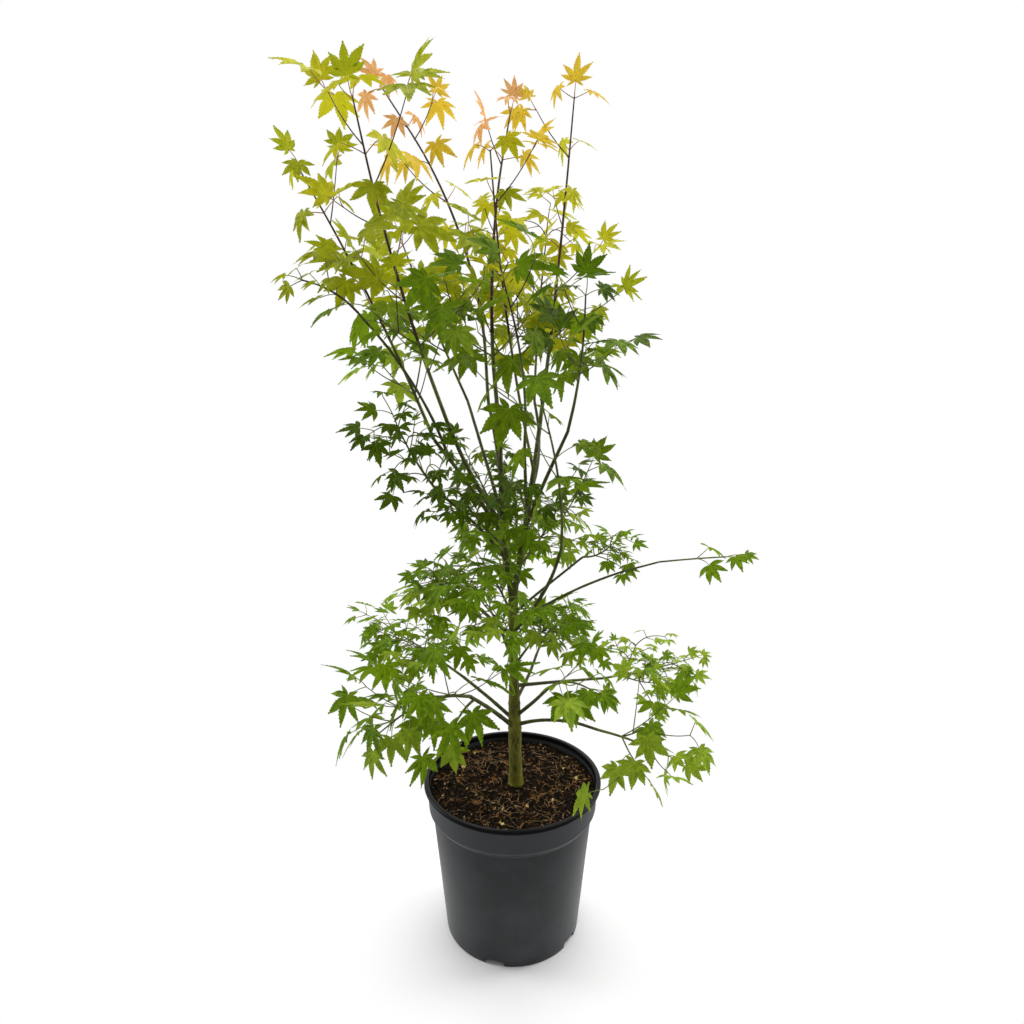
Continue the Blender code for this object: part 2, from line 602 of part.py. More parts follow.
def leaf_mesh(foot, base, along, normal, size, extra=0.0):
    """One leaf: two shallow fans over the outline, with the side that faces the stalk left open
    between the base and the middle and drawn out to the stalk's foot."""
    across = normal.cross(along).normalized()
    up = along.cross(across).normalized()
    thick = LEAF_THICKNESS * size / 2 + extra
    work = bmesh.new()
    rim = []
    for angle, length in leaf_outline():
        reach = length * size + extra * min(1.0, 3 * length)
        sag = LOBE_DROOP * size * length ** 2
        level = along * (reach * math.cos(angle)) + across * (reach * math.sin(angle))
        rim.append(work.verts.new(base + level - up * sag))
    middle = base + along * (LEAF_MIDDLE * size)
    top, bottom = work.verts.new(middle + up * thick), work.verts.new(middle - up * thick)
    for first, second in zip(rim, rim[1:]):
        work.faces.new((top, first, second))
        work.faces.new((bottom, second, first))
    stalk = (base - foot).normalized()
    ahead = stalk.cross(across).normalized()
    beside = ahead.cross(stalk)
    entry, back = (top, bottom) if stalk.dot(up) <= 0 else (bottom, top)
    if entry is bottom:
        ahead = -ahead
    work.faces.new((rim[0], rim[-1], back))
    mouth = (entry, rim[-1], rim[0])
    corners = (ahead, beside * 0.87 - ahead * 0.5, beside * -0.87 - ahead * 0.5)
    ring = [work.verts.new(foot + corner * (STALK_RADIUS + extra)) for corner in corners]
    for i in range(3):
        j = (i + 1) % 3
        work.faces.new((ring[i], ring[j], mouth[j], mouth[i]))
    work.faces.new(ring)
    bmesh.ops.triangulate(work, faces=work.faces)
    bmesh.ops.recalc_face_normals(work, faces=work.faces)
    mesh = bpy.data.meshes.new("leaf")
    work.to_mesh(mesh)
    work.free()
    return mesh


# Growth

def along_route(points, share):
    """The place and heading at a share of a route."""
    place = share * (len(points) - 1)
    i = min(int(place), len(points) - 2)
    return points[i].lerp(points[i + 1], place - i), (points[i + 1] - points[i]).normalized()


def sideways(forward, turn):
    """A direction square to forward at an angle round it, flattened where forward is level."""
    level = Vector((0, 0, 1)).cross(forward)
    level = level.normalized() if level.length > 0.05 else Vector((1, 0, 0))
    other = forward.cross(level).normalized()
    side = level * math.cos(turn) + other * math.sin(turn)
    side.z *= 1.0 - FLATTEN * (1.0 - abs(forward.z))
    return side.normalized()


def leaf_site(rng, foot, forward, side, size, droop):
    """Stalk foot, leaf base, midrib, upper side and size of one leaf; side is None at a tip."""
    if side is None:
        stalk, lift, droop = forward, 1.0, TIP_DROOP * droop
    else:
        lean = math.radians(rng.uniform(*LEAF_LEAN))
        stalk, lift = (forward * math.cos(lean) + side * math.sin(lean)).normalized(), SIDE_LIFT
    size *= rng.uniform(*SIZE_RANGE)
    base = foot + stalk * (size * STALK_SHARE * rng.uniform(*STALK_RANGE))
    outward = Vector((stalk.x, stalk.y, lift * stalk.z)).normalized()
    down = math.radians(droop + rng.uniform(-DROOP_SPREAD, DROOP_SPREAD))
    along = (outward * math.cos(down) - Vector((0, 0, 1)) * math.sin(down)).normalized()
    turned = min(1.0, max(0.0, (base.z - TURNED_FROM) / (TURNED_FULLY - TURNED_FROM)))
    upward = Vector((0, -FRONT_TURN * turned, 1)) + outward * OUTWARD_FACE
    normal = (upward - along * upward.dot(along)).normalized()
    roll = math.radians(rng.uniform(-ROLL_SPREAD, ROLL_SPREAD))
    normal = (normal * math.cos(roll) + normal.cross(along) * math.sin(roll)).normalized()
    return foot, base, along, normal, size


def grow(mass, stem):
    """Shoots of a mass as (twig points or None, leaf sites): the stem's own leaves, then twigs."""
    shoots = [(None, [])]
    turn = FIRST_TURN
    for node in range(mass.nodes):
        share = mass.bare + (0.995 - mass.bare) * (node + 1) / mass.nodes
        here, forward = along_route(stem, share)
        size = mass.leaf * (LEAF_AT_FOOT + (LEAF_AT_TIP - LEAF_AT_FOOT) * share)
        for half in (0, 1):
            rng = random.Random(f"{GROWTH_SEED}:{mass.name}:{node}:{half}")
            side = sideways(forward, turn + math.pi * half + rng.uniform(-TURN_DRIFT, TURN_DRIFT))
            if node < mass.twigs:
                shoots.append(grow_twig(rng, mass, here, forward, side, size))
            else:
                shoots[0][1].append(leaf_site(rng, here, forward, side, size, mass.droop))
        drift = random.Random(f"{GROWTH_SEED}:{mass.name}:{node}").uniform(-PAIR_DRIFT, PAIR_DRIFT)
        turn += math.pi / 2 + drift
    tip, forward = along_route(stem, 0.998)
    rng = random.Random(f"{GROWTH_SEED}:{mass.name}:tip")
    shoots[0][1].append(leaf_site(rng, tip, forward, None, mass.leaf * LEAF_AT_TIP, mass.droop))
    return shoots


def grow_twig(rng, mass, here, forward, side, size):
    """One side twig with a pair of leaves half way and a pair at its end."""
    lean = math.radians(rng.uniform(*TWIG_LEAN))
    heading = (forward * math.cos(lean) + side * math.sin(lean)).normalized()
    length = mass.twig * rng.uniform(*TWIG_RANGE)
    tip = here + heading * length + Vector((0, 0, TWIG_RISE * length))
    via = here.lerp(tip, 0.5) - Vector((0, 0, TWIG_SAG * length))
    points = route(here, via, tip, evenly(2))
    turn = rng.uniform(0, math.pi)
    sites = []
    for share in TWIG_PAIRS:
        spot, ahead = along_route(points, share)
        for half in (0, 1):
            beside = sideways(ahead, turn + math.pi * half)
            sites.append(leaf_site(rng, spot, ahead, beside, size * 0.9, mass.droop))
        turn += math.pi / 2
    return points, sites


def in_space(mass, stem, site):
    """Whether a leaf stays in its mass's own space, a sleeve round the stem, and off the pot."""
    foot, base, along, normal, size = site
    tip = base + along * size
    reach = SLEEVE * mass.leaf + (0.8 * mass.twig if mass.twigs else 0.0)
    near = min((tip - along_route(stem, i / 12)[0]).length for i in range(13))
    return near < reach and tip.z > FOLIAGE_FLOOR


def fuse(stem_mesh, piece_meshes, name, collection):
    """One solid from a stem and the pieces sunk into it."""
    pieces = bpy.data.collections.new(f"{name}_pieces")
    WORKSHOP.children.link(pieces)
    for i, mesh in enumerate(piece_meshes):
        mesh_object(f"{name}_{i}", mesh, pieces)
    body = mesh_object(name, stem_mesh, WORKSHOP)
    join = body.modifiers.new("join", "BOOLEAN")
    join.operation = "UNION"
    join.operand_type = "COLLECTION"
    join.collection = pieces
    join.solver = "MANIFOLD"
    bpy.context.view_layer.update()
    graph = bpy.context.evaluated_depsgraph_get()
    mesh = keep_largest(bpy.data.meshes.new_from_object(body.evaluated_get(graph)))
    for item in (body, *list(pieces.objects)):
        bpy.data.objects.remove(item, do_unlink=True)
    bpy.data.collections.remove(pieces)
    mesh.materials.clear()
    mesh.materials.append(material(f"{name}_leaves", "foliage"))
    return mesh_object(name, mesh, collection)


def past_foot(points, start):
    """The route from a little way out, so that a twig isn't tested against its own stem."""
    first = points[0] + (points[1] - points[0]).normalized() * start
    return [first, *points[1:]]


def make_foliage(skeleton, obstacles, collection):
    stems = {}
    for mass in MASSES:
        foot = skeleton.foot(mass.parent, mass.height)
        stem = route(foot, Vector(mass.via), Vector(mass.tip), evenly(STEM_STEPS))
        at_tip = mass.height is None
        first = skeleton.radii[mass.parent][-1] if at_tip else SIDE_STEM_RADIUS
        mesh = tube_mesh(stem, tapered(first, TWIG_RADIUS, STEM_STEPS), STEM_SIDES)
        hits = skeleton.near(mesh)
        if hits:
            mesh = cut(mesh, [skeleton.cutters[name] for name in hits])
        stems[mass.name] = (stem, mesh)
        obstacles.add(mesh, mass.name)
    for mass in MASSES:
        stem, stem_mesh = stems[mass.name]
        pieces = []
        for twig, sites in grow(mass, stem):
            if twig:
                free = past_foot(twig, TWIG_ROOT)
                wide = tube_mesh(free, [TWIG_RADIUS + SKIP_MARGIN] * len(free), TWIG_SIDES)
                if obstacles.hit_by(wide, spare=mass.name):
                    continue
                radii = tapered(TWIG_RADIUS, TWIG_END_RADIUS, len(twig) - 1)
                pieces.append(tube_mesh(twig, radii, TWIG_SIDES))
                obstacles.add(pieces[-1], mass.name)
            for site in sites:
                if not in_space(mass, stem, site):
                    continue
                foot, base = site[:2]
                outer = foot.lerp(base, min(0.6, STALK_ROOT / (base - foot).length))
                if obstacles.hit_by(leaf_mesh(outer, *site[1:], extra=SKIP_MARGIN)):
                    continue
                pieces.append(leaf_mesh(*site))
                obstacles.add(pieces[-1], mass.name)
        fuse(stem_mesh, pieces, mass.name, collection)


def main():
    part = new_collection(NAME)
    pot = make_pot(part)
    soil = make_soil(part)
    skeleton = Skeleton()
    make_limbs(skeleton, part)
    obstacles = Obstacles()
    bpy.context.view_layer.update()
    obstacles.add(pot.data, "pot")
    obstacles.add(soil.data, "soil")
    for name, mesh in skeleton.meshes.items():
        obstacles.add(mesh, name)
    make_foliage(skeleton, obstacles, part)
    for item in list(WORKSHOP.objects):
        bpy.data.objects.remove(item, do_unlink=True)


main()
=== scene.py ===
"""The looks of the potted maple, over its fixed frame.

Pot, soil and limbs have the sizes of the solids. Shoots and leaves grow again here by the solids'
seeded rule, and are carried on to finer twigs and toothed leaves within the frame's own reach.
Metres, +Z up, with the front of the plant towards -Y.
"""

import json
import math
import random
from collections import namedtuple

import bmesh
import bpy
import numpy as np
from mathutils import Matrix, Vector, noise
from mathutils.bvhtree import BVHTree

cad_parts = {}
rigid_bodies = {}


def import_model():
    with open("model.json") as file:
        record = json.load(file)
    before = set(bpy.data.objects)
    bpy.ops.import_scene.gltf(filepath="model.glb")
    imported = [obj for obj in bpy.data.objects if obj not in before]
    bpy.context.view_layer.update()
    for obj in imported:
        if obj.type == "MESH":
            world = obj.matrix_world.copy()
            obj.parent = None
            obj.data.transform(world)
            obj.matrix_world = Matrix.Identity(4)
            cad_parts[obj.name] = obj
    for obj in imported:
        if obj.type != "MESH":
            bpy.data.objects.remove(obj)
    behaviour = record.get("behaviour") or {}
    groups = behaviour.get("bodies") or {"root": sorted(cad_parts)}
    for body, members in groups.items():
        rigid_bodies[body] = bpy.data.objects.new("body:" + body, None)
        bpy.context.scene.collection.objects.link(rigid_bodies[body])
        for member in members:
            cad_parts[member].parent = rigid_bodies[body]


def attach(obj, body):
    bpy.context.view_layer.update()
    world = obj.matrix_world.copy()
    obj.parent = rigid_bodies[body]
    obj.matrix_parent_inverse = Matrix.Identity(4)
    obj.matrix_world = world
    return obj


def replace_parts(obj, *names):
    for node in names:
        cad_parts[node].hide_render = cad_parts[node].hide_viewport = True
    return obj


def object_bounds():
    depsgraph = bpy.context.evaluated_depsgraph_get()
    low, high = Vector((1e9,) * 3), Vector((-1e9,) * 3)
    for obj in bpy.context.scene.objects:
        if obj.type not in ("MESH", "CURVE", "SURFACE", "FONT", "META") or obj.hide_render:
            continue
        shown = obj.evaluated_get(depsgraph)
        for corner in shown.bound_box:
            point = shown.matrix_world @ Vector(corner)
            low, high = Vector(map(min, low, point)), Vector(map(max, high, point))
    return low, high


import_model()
cad_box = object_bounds()
BOX_LOW, BOX_HIGH = (np.array(corner) for corner in cad_box)
BOX_EASE = 0.015 * (BOX_HIGH - BOX_LOW)  # leaf tips may pass the solids' box by this much

MM = 0.001

# Camera: a wide lens a little above the middle of the crown, looking down on it
CAMERA_PLACE = (-0.0005, -0.80, 0.708)
CAMERA_PITCH = 13.3  # degrees below level
LENS = 26.37  # mm
SENSOR = 36  # mm, across

# Pot, as in the solids
POT_HEIGHT = 195 * MM
RIM_RADIUS = 105 * MM
COLLAR_HEIGHT = 35 * MM
COLLAR_RADIUS = 100.5 * MM
BODY_RADIUS = 95 * MM
FOOT_RADIUS = 81 * MM
WALL = 1.8 * MM
LIP_HEIGHT = 5 * MM
FLOOR_RAISE = 8 * MM
PAD_RADIUS = 25 * MM
NOTCH_COUNT = 5
NOTCH_WIDTH = 23 * MM
NOTCH_HEIGHT = 7 * MM
NOTCH_DEPTH = 20 * MM  # of the cutter, right through the skirt
NOTCH_CORNER = 2.6 * MM
POT_SHARP = 38  # degrees from which an edge of the pot stays sharp
NOTCH_TURN = math.radians(-105)  # first notch, a little left of the front
POT_SEGMENTS = 192

# Soil
SOIL_LEVEL = 185 * MM
SOIL_LUMP = 3.0 * MM
SOIL_CRUMB = 0.9 * MM
SOIL_DEPTH = 20 * MM
TRUNK_SEAT = 22 * MM  # flat spot that the trunk stands on
SEAT_EASE = 20 * MM  # distance over which the lumps rise outside that spot

# Trunk and limbs
GAP = 0.3 * MM
TRUNK_FOOT = Vector((0.004, 0.0, SOIL_LEVEL + GAP))
TRUNK_VIA = Vector((0.002, 0.0, 0.300))
TRUNK_TIP = Vector((0.0, 0.0, 0.417))
TRUNK_STEPS = (0, 0.013, 0.03, 0.056, 0.1, 0.19, 0.31, 0.42, 0.5, 0.58, 0.69, 0.82, 1.0)
TRUNK_RADIUS = 7.6 * MM
TRUNK_TOP_RADIUS = 4.9 * MM
TRUNK_FLARE = 2.2 * MM  # added radius right at the soil
FLARE_HEIGHT = 9 * MM
SHOULDER = (0.255, 0.345)  # heights between which the trunk thins
TRUNK_NODES = (0.258, 0.290, 0.312, 0.345, 0.372, 0.395)  # heights of the rings that old leaf pairs left
STEM_STEPS = 4
LIMB_STEPS = 4
FINE_TRUNK_STEPS, FINE_LIMB_STEPS, FINE_STEM_STEPS = 150, 44, 28  # of the same routes, drawn smoothly
FORK_OVERLAP = 4 * MM  # a leader starts this far below the trunk's tip

# Growth rule of the solids: ranges of the seeded draws, in degrees and in shares
GROWTH_SEED = 6
FIRST_TURN = math.radians(45)  # of the lowest pair of leaves, round the stem from level
LEAF_LEAN = (45, 70)
TWIG_LEAN = (42, 62)
SIZE_RANGE = (0.84, 1.14)
STALK_SHARE = 0.62  # length of the stalk, in midribs
STALK_RANGE = (0.8, 1.25)
TWIG_RANGE = (0.75, 1.2)
TURN_DRIFT = 0.3  # radians that a leaf strays from its place round the stem
PAIR_DRIFT = 0.35  # the same of a pair from square to the pair below it
DROOP_SPREAD = 30
ROLL_SPREAD = 38
LEAF_AT_FOOT = 1.08  # leaves are larger low on a stem than at its tip
LEAF_AT_TIP = 0.74
LEAF_ON_TWIG = 0.9  # beside a leaf on the stem itself
FLATTEN = 0.75  # how far a level shoot turns its leaves into the level plane
TURNED_FROM, TURNED_FULLY = 0.66, 0.78  # heights between which leaves turn to the light in front
FRONT_TURN = 0.6
SIDE_LIFT = 0.35  # share of a side leaf's own rise that it keeps
TIP_DROOP = 0.2  # share of the droop that a leaf at a tip takes
OUTWARD_FACE = 0.25  # how far a leaf's upper side looks outwards
TWIG_SHAPE = (0.12, 0.05)  # rise of a twig's tip and sag of its middle, in shares of its length
TWIG_PAIRS = (0.55, 0.99)  # shares of a twig at which its pairs of leaves stand
LAST_PAIR, TIP_LEAF = 0.995, 0.998  # shares of a stem at which its last pair and its tip leaf stand
SLEEVE = 1.75  # radius of a mass's space round its stem, in lobe lengths
TWIG_SLEEVE = 0.8  # what side twigs add to it, in twig lengths
FOLIAGE_FLOOR = 0.222  # no leaf hangs lower than this

# What is finer here than in the solids
FINE_LEAF = (0.70, 1.0)  # leaves of the finer twigs, beside the mass's real ones
FINE_TWIG = (0.9, 1.9)  # length of a finer twig, in real leaves
FINE_SHAPE = (0.1, 0.06)
FINE_TURN, FINE_DRIFT = 2.4, 0.5  # radians round the stem from one finer twig to the next
FINE_FROM, FINE_TO = 0.2, 0.93  # shares of a side twig, and of a stem at most, that bear finer ones
FINE_PER_TWIG = 2
SPRAY_REACH = 0.40  # how far a spray runs on past the foot of the large leaf, beside that leaf
SPRAY_BEND = (0.65, 0.04)  # share of the stalk at which it bends, and how far, beside that leaf
SPRAY_PAIRS = (0.45, 0.9)  # shares of a spray between which its lower pairs stand
END_LEAF = 0.9  # the tip leaf of a finer twig or spray, beside its other leaves
STALK_BOW = 0.09  # how far a stalk may bow, beside its length
LEAF_SAG = (0.06, 0.26)  # how far a midrib's tip hangs, in midribs
STEM_RADII = (1.7 * MM, 0.75 * MM)
TWIG_RADII = (0.95 * MM, 0.6 * MM)
FINE_RADII = (0.7 * MM, 0.45 * MM)
STALK_RADII = (0.55 * MM, 0.4 * MM)
CLEARANCE = 0.4 * MM  # between leaves and limbs, and round the middle of a stem

COLLAR_SWELL = 0.45  # added thickness where a limb leaves its parent
COLLAR_LENGTH = 0.07  # share of the limb over which it fades
LIMB_RINGS = (0.34, 0.66, 0.97)  # shares of a limb at which old nodes ring it
PURPLE_ABOVE = 0.70  # shoots are purple-brown above this height, olive below
RED_STALKS_ABOVE = 0.80

FLOOR_RADIUS = 12.0
FLOOR_DROP = 0.2 * MM  # below the foot of the pot, so that the two don't flicker
EDGE_FADE = (0.07, 0.27)  # distances over which the board gives way to plain light
SURROUND_LIGHT = 0.40
LIGHT_AIM = 0.45  # height that every light faces
LIGHTS = (  # name, place, size and watts
    ("overhead", (0.15, 0.6, 2.5), (3.6, 3.0), 88),
    ("left_box", (-1.9, 0.5, 0.9), (0.8, 1.9), 25),
    ("right_box", (1.9, 0.6, 0.9), (0.8, 1.9), 27),
    ("back_board", (0.0, 2.6, 1.05), (4.5, 2.1), 31),
)

Limb = namedtuple("Limb", "name parent height via tip radii")
Mass = namedtuple("Mass", "name parent height via tip nodes twigs twig leaf droop bare")

# Limbs: parent, height where they leave it (None for its tip), a point they pass, tip, radii; all in mm
LIMBS = [Limb(*row) for row in (
    ("leader_left", "trunk", None, (-9, 6, 490), (-13, 2, 600), (3.6, 2.5)),
    ("leader_right", "trunk", None, (11, 3, 480), (31, 45, 610), (3.8, 2.4)),
    ("bough_left", "leader_left", 500, (-42, -16, 560), (-67, -30, 621), (2.6, 2.0)),
    ("bough_outer_left", "leader_left", 486, (-45, 8, 543), (-84, 2, 598), (2.5, 1.9)),
    ("bough_spray_left", "bough_outer_left", 575, (-100, -20, 655), (-147, -60, 728), (1.6, 1.2)),
    ("bough_side_left", "leader_left", 462, (-44, -12, 512), (-78, -22, 545), (2.0, 1.5)),
    ("bough_rear_left", "leader_left", 510, (-30, 35, 570), (-52, 78, 633), (2.1, 1.6)),
    ("bough_inner_left", "leader_left", 540, (-18, 30, 590), (-27, 45, 635), (2.3, 1.9)),
    ("bough_right", "leader_right", 498, (34, -18, 556), (56, -38, 611), (2.3, 1.7)),
    ("bough_front_right", "trunk", 378, (29, -22, 425), (50, -62, 495), (2.3, 1.6)),
    ("bough_fan_right", "trunk", 400, (45, 6, 437), (80, 18, 462), (1.6, 1.2)),
    ("bough_long_right", "trunk", 386, (78, -4, 434), (160, -14, 466), (1.7, 1.0)),
    ("bough_low_right", "trunk", 262, (45, -16, 277), (95, -45, 281), (2.2, 1.5)),
    ("bough_low_front", "trunk", 272, (22, -14, 297), (40, -34, 326), (2.3, 1.7)),
    ("bough_flat_right", "trunk", 312, (52, 18, 308), (110, 36, 304), (2.1, 1.4)),
    ("bough_low_left", "trunk", 258, (-20, -20, 289), (-47, -46, 322), (2.7, 2.0)),
    ("bough_low_rear_left", "trunk", 268, (-22, 14, 284), (-60, 44, 302), (2.3, 1.7)),
    ("bough_mid_left", "trunk", 372, (-22, -8, 396), (-42, -16, 418), (2.0, 1.6)),
    ("bough_mid_rear", "trunk", 350, (4, 28, 385), (6, 58, 425), (2.2, 1.7)),
    ("bough_low_rear", "trunk", 290, (16, 26, 305), (30, 60, 325), (2.2, 1.6)),
    ("bough_mid_front", "trunk", 345, (-6, -24, 372), (-12, -52, 405), (2.2, 1.7)),
    ("bough_upper_front", "leader_right", 510, (14, -24, 550), (12, -55, 595), (2.0, 1.6)),
    ("bough_upper_rear", "leader_right", 535, (30, 52, 575), (26, 92, 632), (2.0, 1.6)),
)]

# Foliage: limb, height where the stem leaves it (None for its tip), a point it passes, tip, leaf nodes,
# nodes that bear twigs, twig length, lobe length, droop in degrees, bare share of the stem; all in mm
MASSES = [Mass(*row) for row in (
    ("outer_left", "bough_outer_left", None, (-134, 0, 717), (-203, -25, 860), 7, 1, 60, 45, 45, 0.04),
    ("left", "bough_left", None, (-107, -50, 751), (-140, -78, 910), 6, 1, 60, 52, 40, 0.12),
    ("rear_left", "bough_rear_left", None, (-90, 88, 720), (-122, 78, 806), 4, 1, 60, 50, 40, 0.10),
    ("inner_left", "bough_inner_left", None, (-46, 50, 780), (-134, 50, 955), 7, 1, 55, 42, 45, 0.15),
    ("centre", "leader_left", None, (-20, 8, 790), (-2, 48, 932), 6, 1, 50, 40, 45, 0.10),
    ("right", "leader_right", None, (53, 78, 800), (66, 80, 955), 6, 1, 50, 40, 45, 0.12),
    ("outer_right", "bough_right", None, (68, -50, 690), (70, -54, 745), 4, 1, 26, 40, 40, 0.20),
    ("upper_front", "bough_upper_front", None, (10, -80, 670), (-8, -95, 755), 5, 0, 45, 50, 45, 0.05),
    ("upper_rear", "bough_upper_rear", None, (30, 120, 710), (40, 130, 820), 5, 1, 50, 46, 40, 0.10),
    ("front_right", "bough_front_right", None, (46, -88, 560), (26, -95, 650), 5, 0, 45, 48, 40, 0.10),
    ("fan_right", "bough_fan_right", None, (92, 22, 462), (112, 28, 472), 4, 0, 40, 32, 25, 0.20),
    ("long_right", "bough_long_right", None, (200, -24, 473), (228, -34, 478), 2, 0, 40, 36, 20, 0.12),
    ("low_right", "bough_low_right", None, (135, -66, 278), (166, -84, 272), 4, 1, 40, 42, 38, 0.12),
    ("low_front", "bough_low_front", None, (58, -56, 344), (80, -84, 350), 4, 0, 45, 45, 20, 0.05),
    ("flat_right", "bough_flat_right", None, (155, 52, 305), (200, 70, 307), 5, 1, 45, 38, 25, 0.05),
    ("low_left", "bough_low_left", None, (-90, -82, 334), (-136, -106, 312), 6, 1, 55, 50, 60, 0.05),
    ("low_rear_left", "bough_low_rear_left", None, (-108, 75, 322), (-150, 92, 342), 5, 1, 50, 47, 15, 0.08),
    ("mid_left", "bough_mid_left", None, (-62, -24, 436), (-80, -32, 448), 4, 1, 40, 40, 25, 0.05),
    ("mid_rear", "bough_mid_rear", None, (6, 88, 470), (0, 100, 520), 5, 1, 50, 43, 30, 0.05),
    ("low_rear", "bough_low_rear", None, (45, 92, 340), (60, 115, 345), 4, 1, 50, 45, 20, 0.05),
    ("mid_front", "bough_mid_front", None, (-20, -74, 428), (-28, -92, 445), 4, 0, 45, 45, 30, 0.05),
    ("upper_centre", "leader_right", 560, (-5, -8, 720), (-22, 0, 885), 6, 1, 50, 42, 40, 0.25),
    ("spray_left", "bough_spray_left", None, (-174, -70, 750), (-194, -78, 757), 3, 0, 30, 32, 25, 0.15),
    ("side_left", "bough_side_left", None, (-98, -26, 575), (-118, -28, 615), 4, 0, 45, 41, 30, 0.05),
    ("stem_left", "leader_left", 478, (-30, -30, 510), (-52, -48, 545), 4, 0, 45, 38, 30, 0.25),
    ("stem_rear", "leader_left", 475, (-25, 40, 520), (-48, 65, 560), 4, 0, 45, 40, 30, 0.25),
    ("stem_right", "leader_right", 455, (36, 22, 490), (58, 34, 530), 4, 0, 45, 38, 30, 0.25),
    ("stem_front", "leader_right", 470, (16, -35, 510), (10, -52, 545), 4, 0, 45, 40, 30, 0.25),
    ("trunk_rear", "trunk", 395, (-16, 24, 424), (-34, 46, 446), 4, 0, 45, 38, 30, 0.30),
    ("trunk_right", "trunk", 335, (24, 12, 362), (45, 22, 380), 4, 0, 45, 38, 30, 0.30),
    ("low_hanging", "bough_low_left", 316, (-58, -64, 306), (-66, -74, 292), 1, 0, 30, 43, 50, 0.90),
)]

# How far up each shoot its tints begin: (height, tint), from the top down
TINTS = {
    "inner_left": ((0.900, "peach"), (0.865, "golden"), (0.740, "lime"), (0.0, "leaf")),
    "centre": ((0.885, "peach"), (0.860, "golden"), (0.790, "lime"), (0.690, "yellow_green"), (0.0, "leaf")),
    "upper_centre": ((0.870, "golden"), (0.810, "lime"), (0.730, "yellow_green"), (0.660, "leaf"),
                     (0.0, "dark")),
    "right": ((0.880, "golden"), (0.790, "lime"), (0.710, "yellow_green"), (0.0, "dark")),
    "left": ((0.840, "lime"), (0.760, "yellow_green"), (0.700, "fresh"), (0.0, "dark")),
    "outer_left": ((0.740, "yellow_green"), (0.660, "fresh"), (0.0, "dark")),
    "rear_left": ((0.740, "yellow_green"), (0.0, "leaf")),
    "upper_rear": ((0.770, "lime"), (0.710, "yellow_green"), (0.0, "leaf")),
    "spray_left": ((0.0, "yellow_green"),),
    "upper_front": ((0.0, "leaf"),),
    "front_right": ((0.0, "leaf"),),
    "outer_right": ((0.0, "dark"),),
    "low_hanging": ((0.0, "bright"),),
    "low_left": ((0.0, "fresh"),),
    "low_right": ((0.0, "bright"),),
    "flat_right": ((0.0, "bright"),),
    "low_front": ((0.0, "fresh"),),
    "long_right": ((0.0, "fresh"),),
}
MIDDLE_TINT = "dark"  # the middle of the crown takes the dark tint, which stands in partly for its shade (painted shade)
LOW_TINT = "fresh"  # below this height the rest are fresh green
LOW_HEIGHT = 0.53
NEXT_TINT = {  # a neighbouring tint that some sprays of each tint take
    "peach": "golden", "golden": "lime", "lime": "yellow_green", "yellow_green": "lime",
    "leaf": "fresh", "fresh": "bright", "bright": "fresh", "dark": "leaf",
}
STRAY_SHARE = 0.22

# Habits: midrib length of the real leaves, leaf pairs on the spray that carries on each large leaf
# of the solids (0: one real leaf takes its place), droop in degrees, finer twigs per node, leaf
# kind, and the masses that grow so
Habit = namedtuple("Habit", "leaf pairs droop fine kind masses")
HABITS = (
    Habit(42 * MM, 0, 25, 1.2, "broad", ("left", "upper_front")),
    Habit(34 * MM, 0, 30, 0.6, "broad", ("outer_left", "rear_left", "upper_centre", "outer_right",
                                         "front_right", "low_right", "low_front")),
    Habit(32 * MM, 0, 30, 0.6, "deep", ("inner_left", "centre", "right")),  # young tips
    Habit(24 * MM, 0, 15, 0.2, "small", ("spray_left", "long_right")),
    Habit(26 * MM, 1, 25, 0.5, "small", ("upper_rear",)),
    Habit(21 * MM, 1, 25, 1.2, "small", ("mid_left", "mid_rear", "mid_front", "side_left", "stem_left",
                                         "stem_rear", "stem_right", "stem_front", "trunk_rear",
                                         "trunk_right", "low_rear_left")),
    Habit(16 * MM, 1, 20, 0.3, "small", ("fan_right", "flat_right", "low_rear")),
    Habit(43 * MM, 0, 65, 2.6, "deep", ("low_left",)),  # long narrow leaves that hang as a fan
    Habit(38 * MM, 0, 50, 0.0, "broad", ("low_hanging",)),
)
HABIT_OF = {name: habit for habit in HABITS for name in habit.masses}


def linear(code):
    """An sRGB hex colour as linear RGBA."""
    shades = [int(code[i:i + 2], 16) / 255 for i in (1, 3, 5)]
    return (*(s / 12.92 if s <= 0.04045 else ((s + 0.055) / 1.055) ** 2.4 for s in shades), 1.0)


def add_node(tree, kind, settings=None, links=None):
    """One node with its settings, by property or input, and the sockets that feed its inputs."""
    made = tree.nodes.new(f"ShaderNode{kind}")
    for name, value in (settings or {}).items():
        if isinstance(name, int) or name in made.inputs:
            made.inputs[name].default_value = value
        else:
            setattr(made, name, value)
    for name, source in (links or {}).items():
        tree.links.new(source if isinstance(source, bpy.types.NodeSocket) else source.outputs[0],
                       made.inputs[name])
    return made


def new_object(name, data):
    """An object with this data, in the scene."""
    made = bpy.data.objects.new(name, data)
    bpy.context.scene.collection.objects.link(made)
    return made


def new_finish(name, **values):
    """A material with one Principled shader whose uniform values sit on its own sockets."""
    made = bpy.data.materials.new(name)
    made.use_nodes = True
    tree = made.node_tree
    tree.nodes.clear()
    shader = add_node(tree, "BsdfPrincipled", {key.replace("_", " "): v for key, v in values.items()})
    add_node(tree, "OutputMaterial", None, {"Surface": shader})
    return made, tree, shader


# Finishes

def in_patches(tree, where, deep, pale, size, span, detail=2.0):
    """A colour that drifts between two tones in soft patches of about this size."""
    cloud = add_node(tree, "TexNoise", {"Scale": 1 / size, "Detail": detail}, {"Vector": where})
    spread = add_node(tree, "MapRange", {"From Min": span[0], "From Max": span[1]}, {0: cloud})
    tones = {"data_type": "RGBA", 6: linear(deep), 7: linear(pale)}
    return add_node(tree, "Mix", tones, {0: spread}).outputs[2]


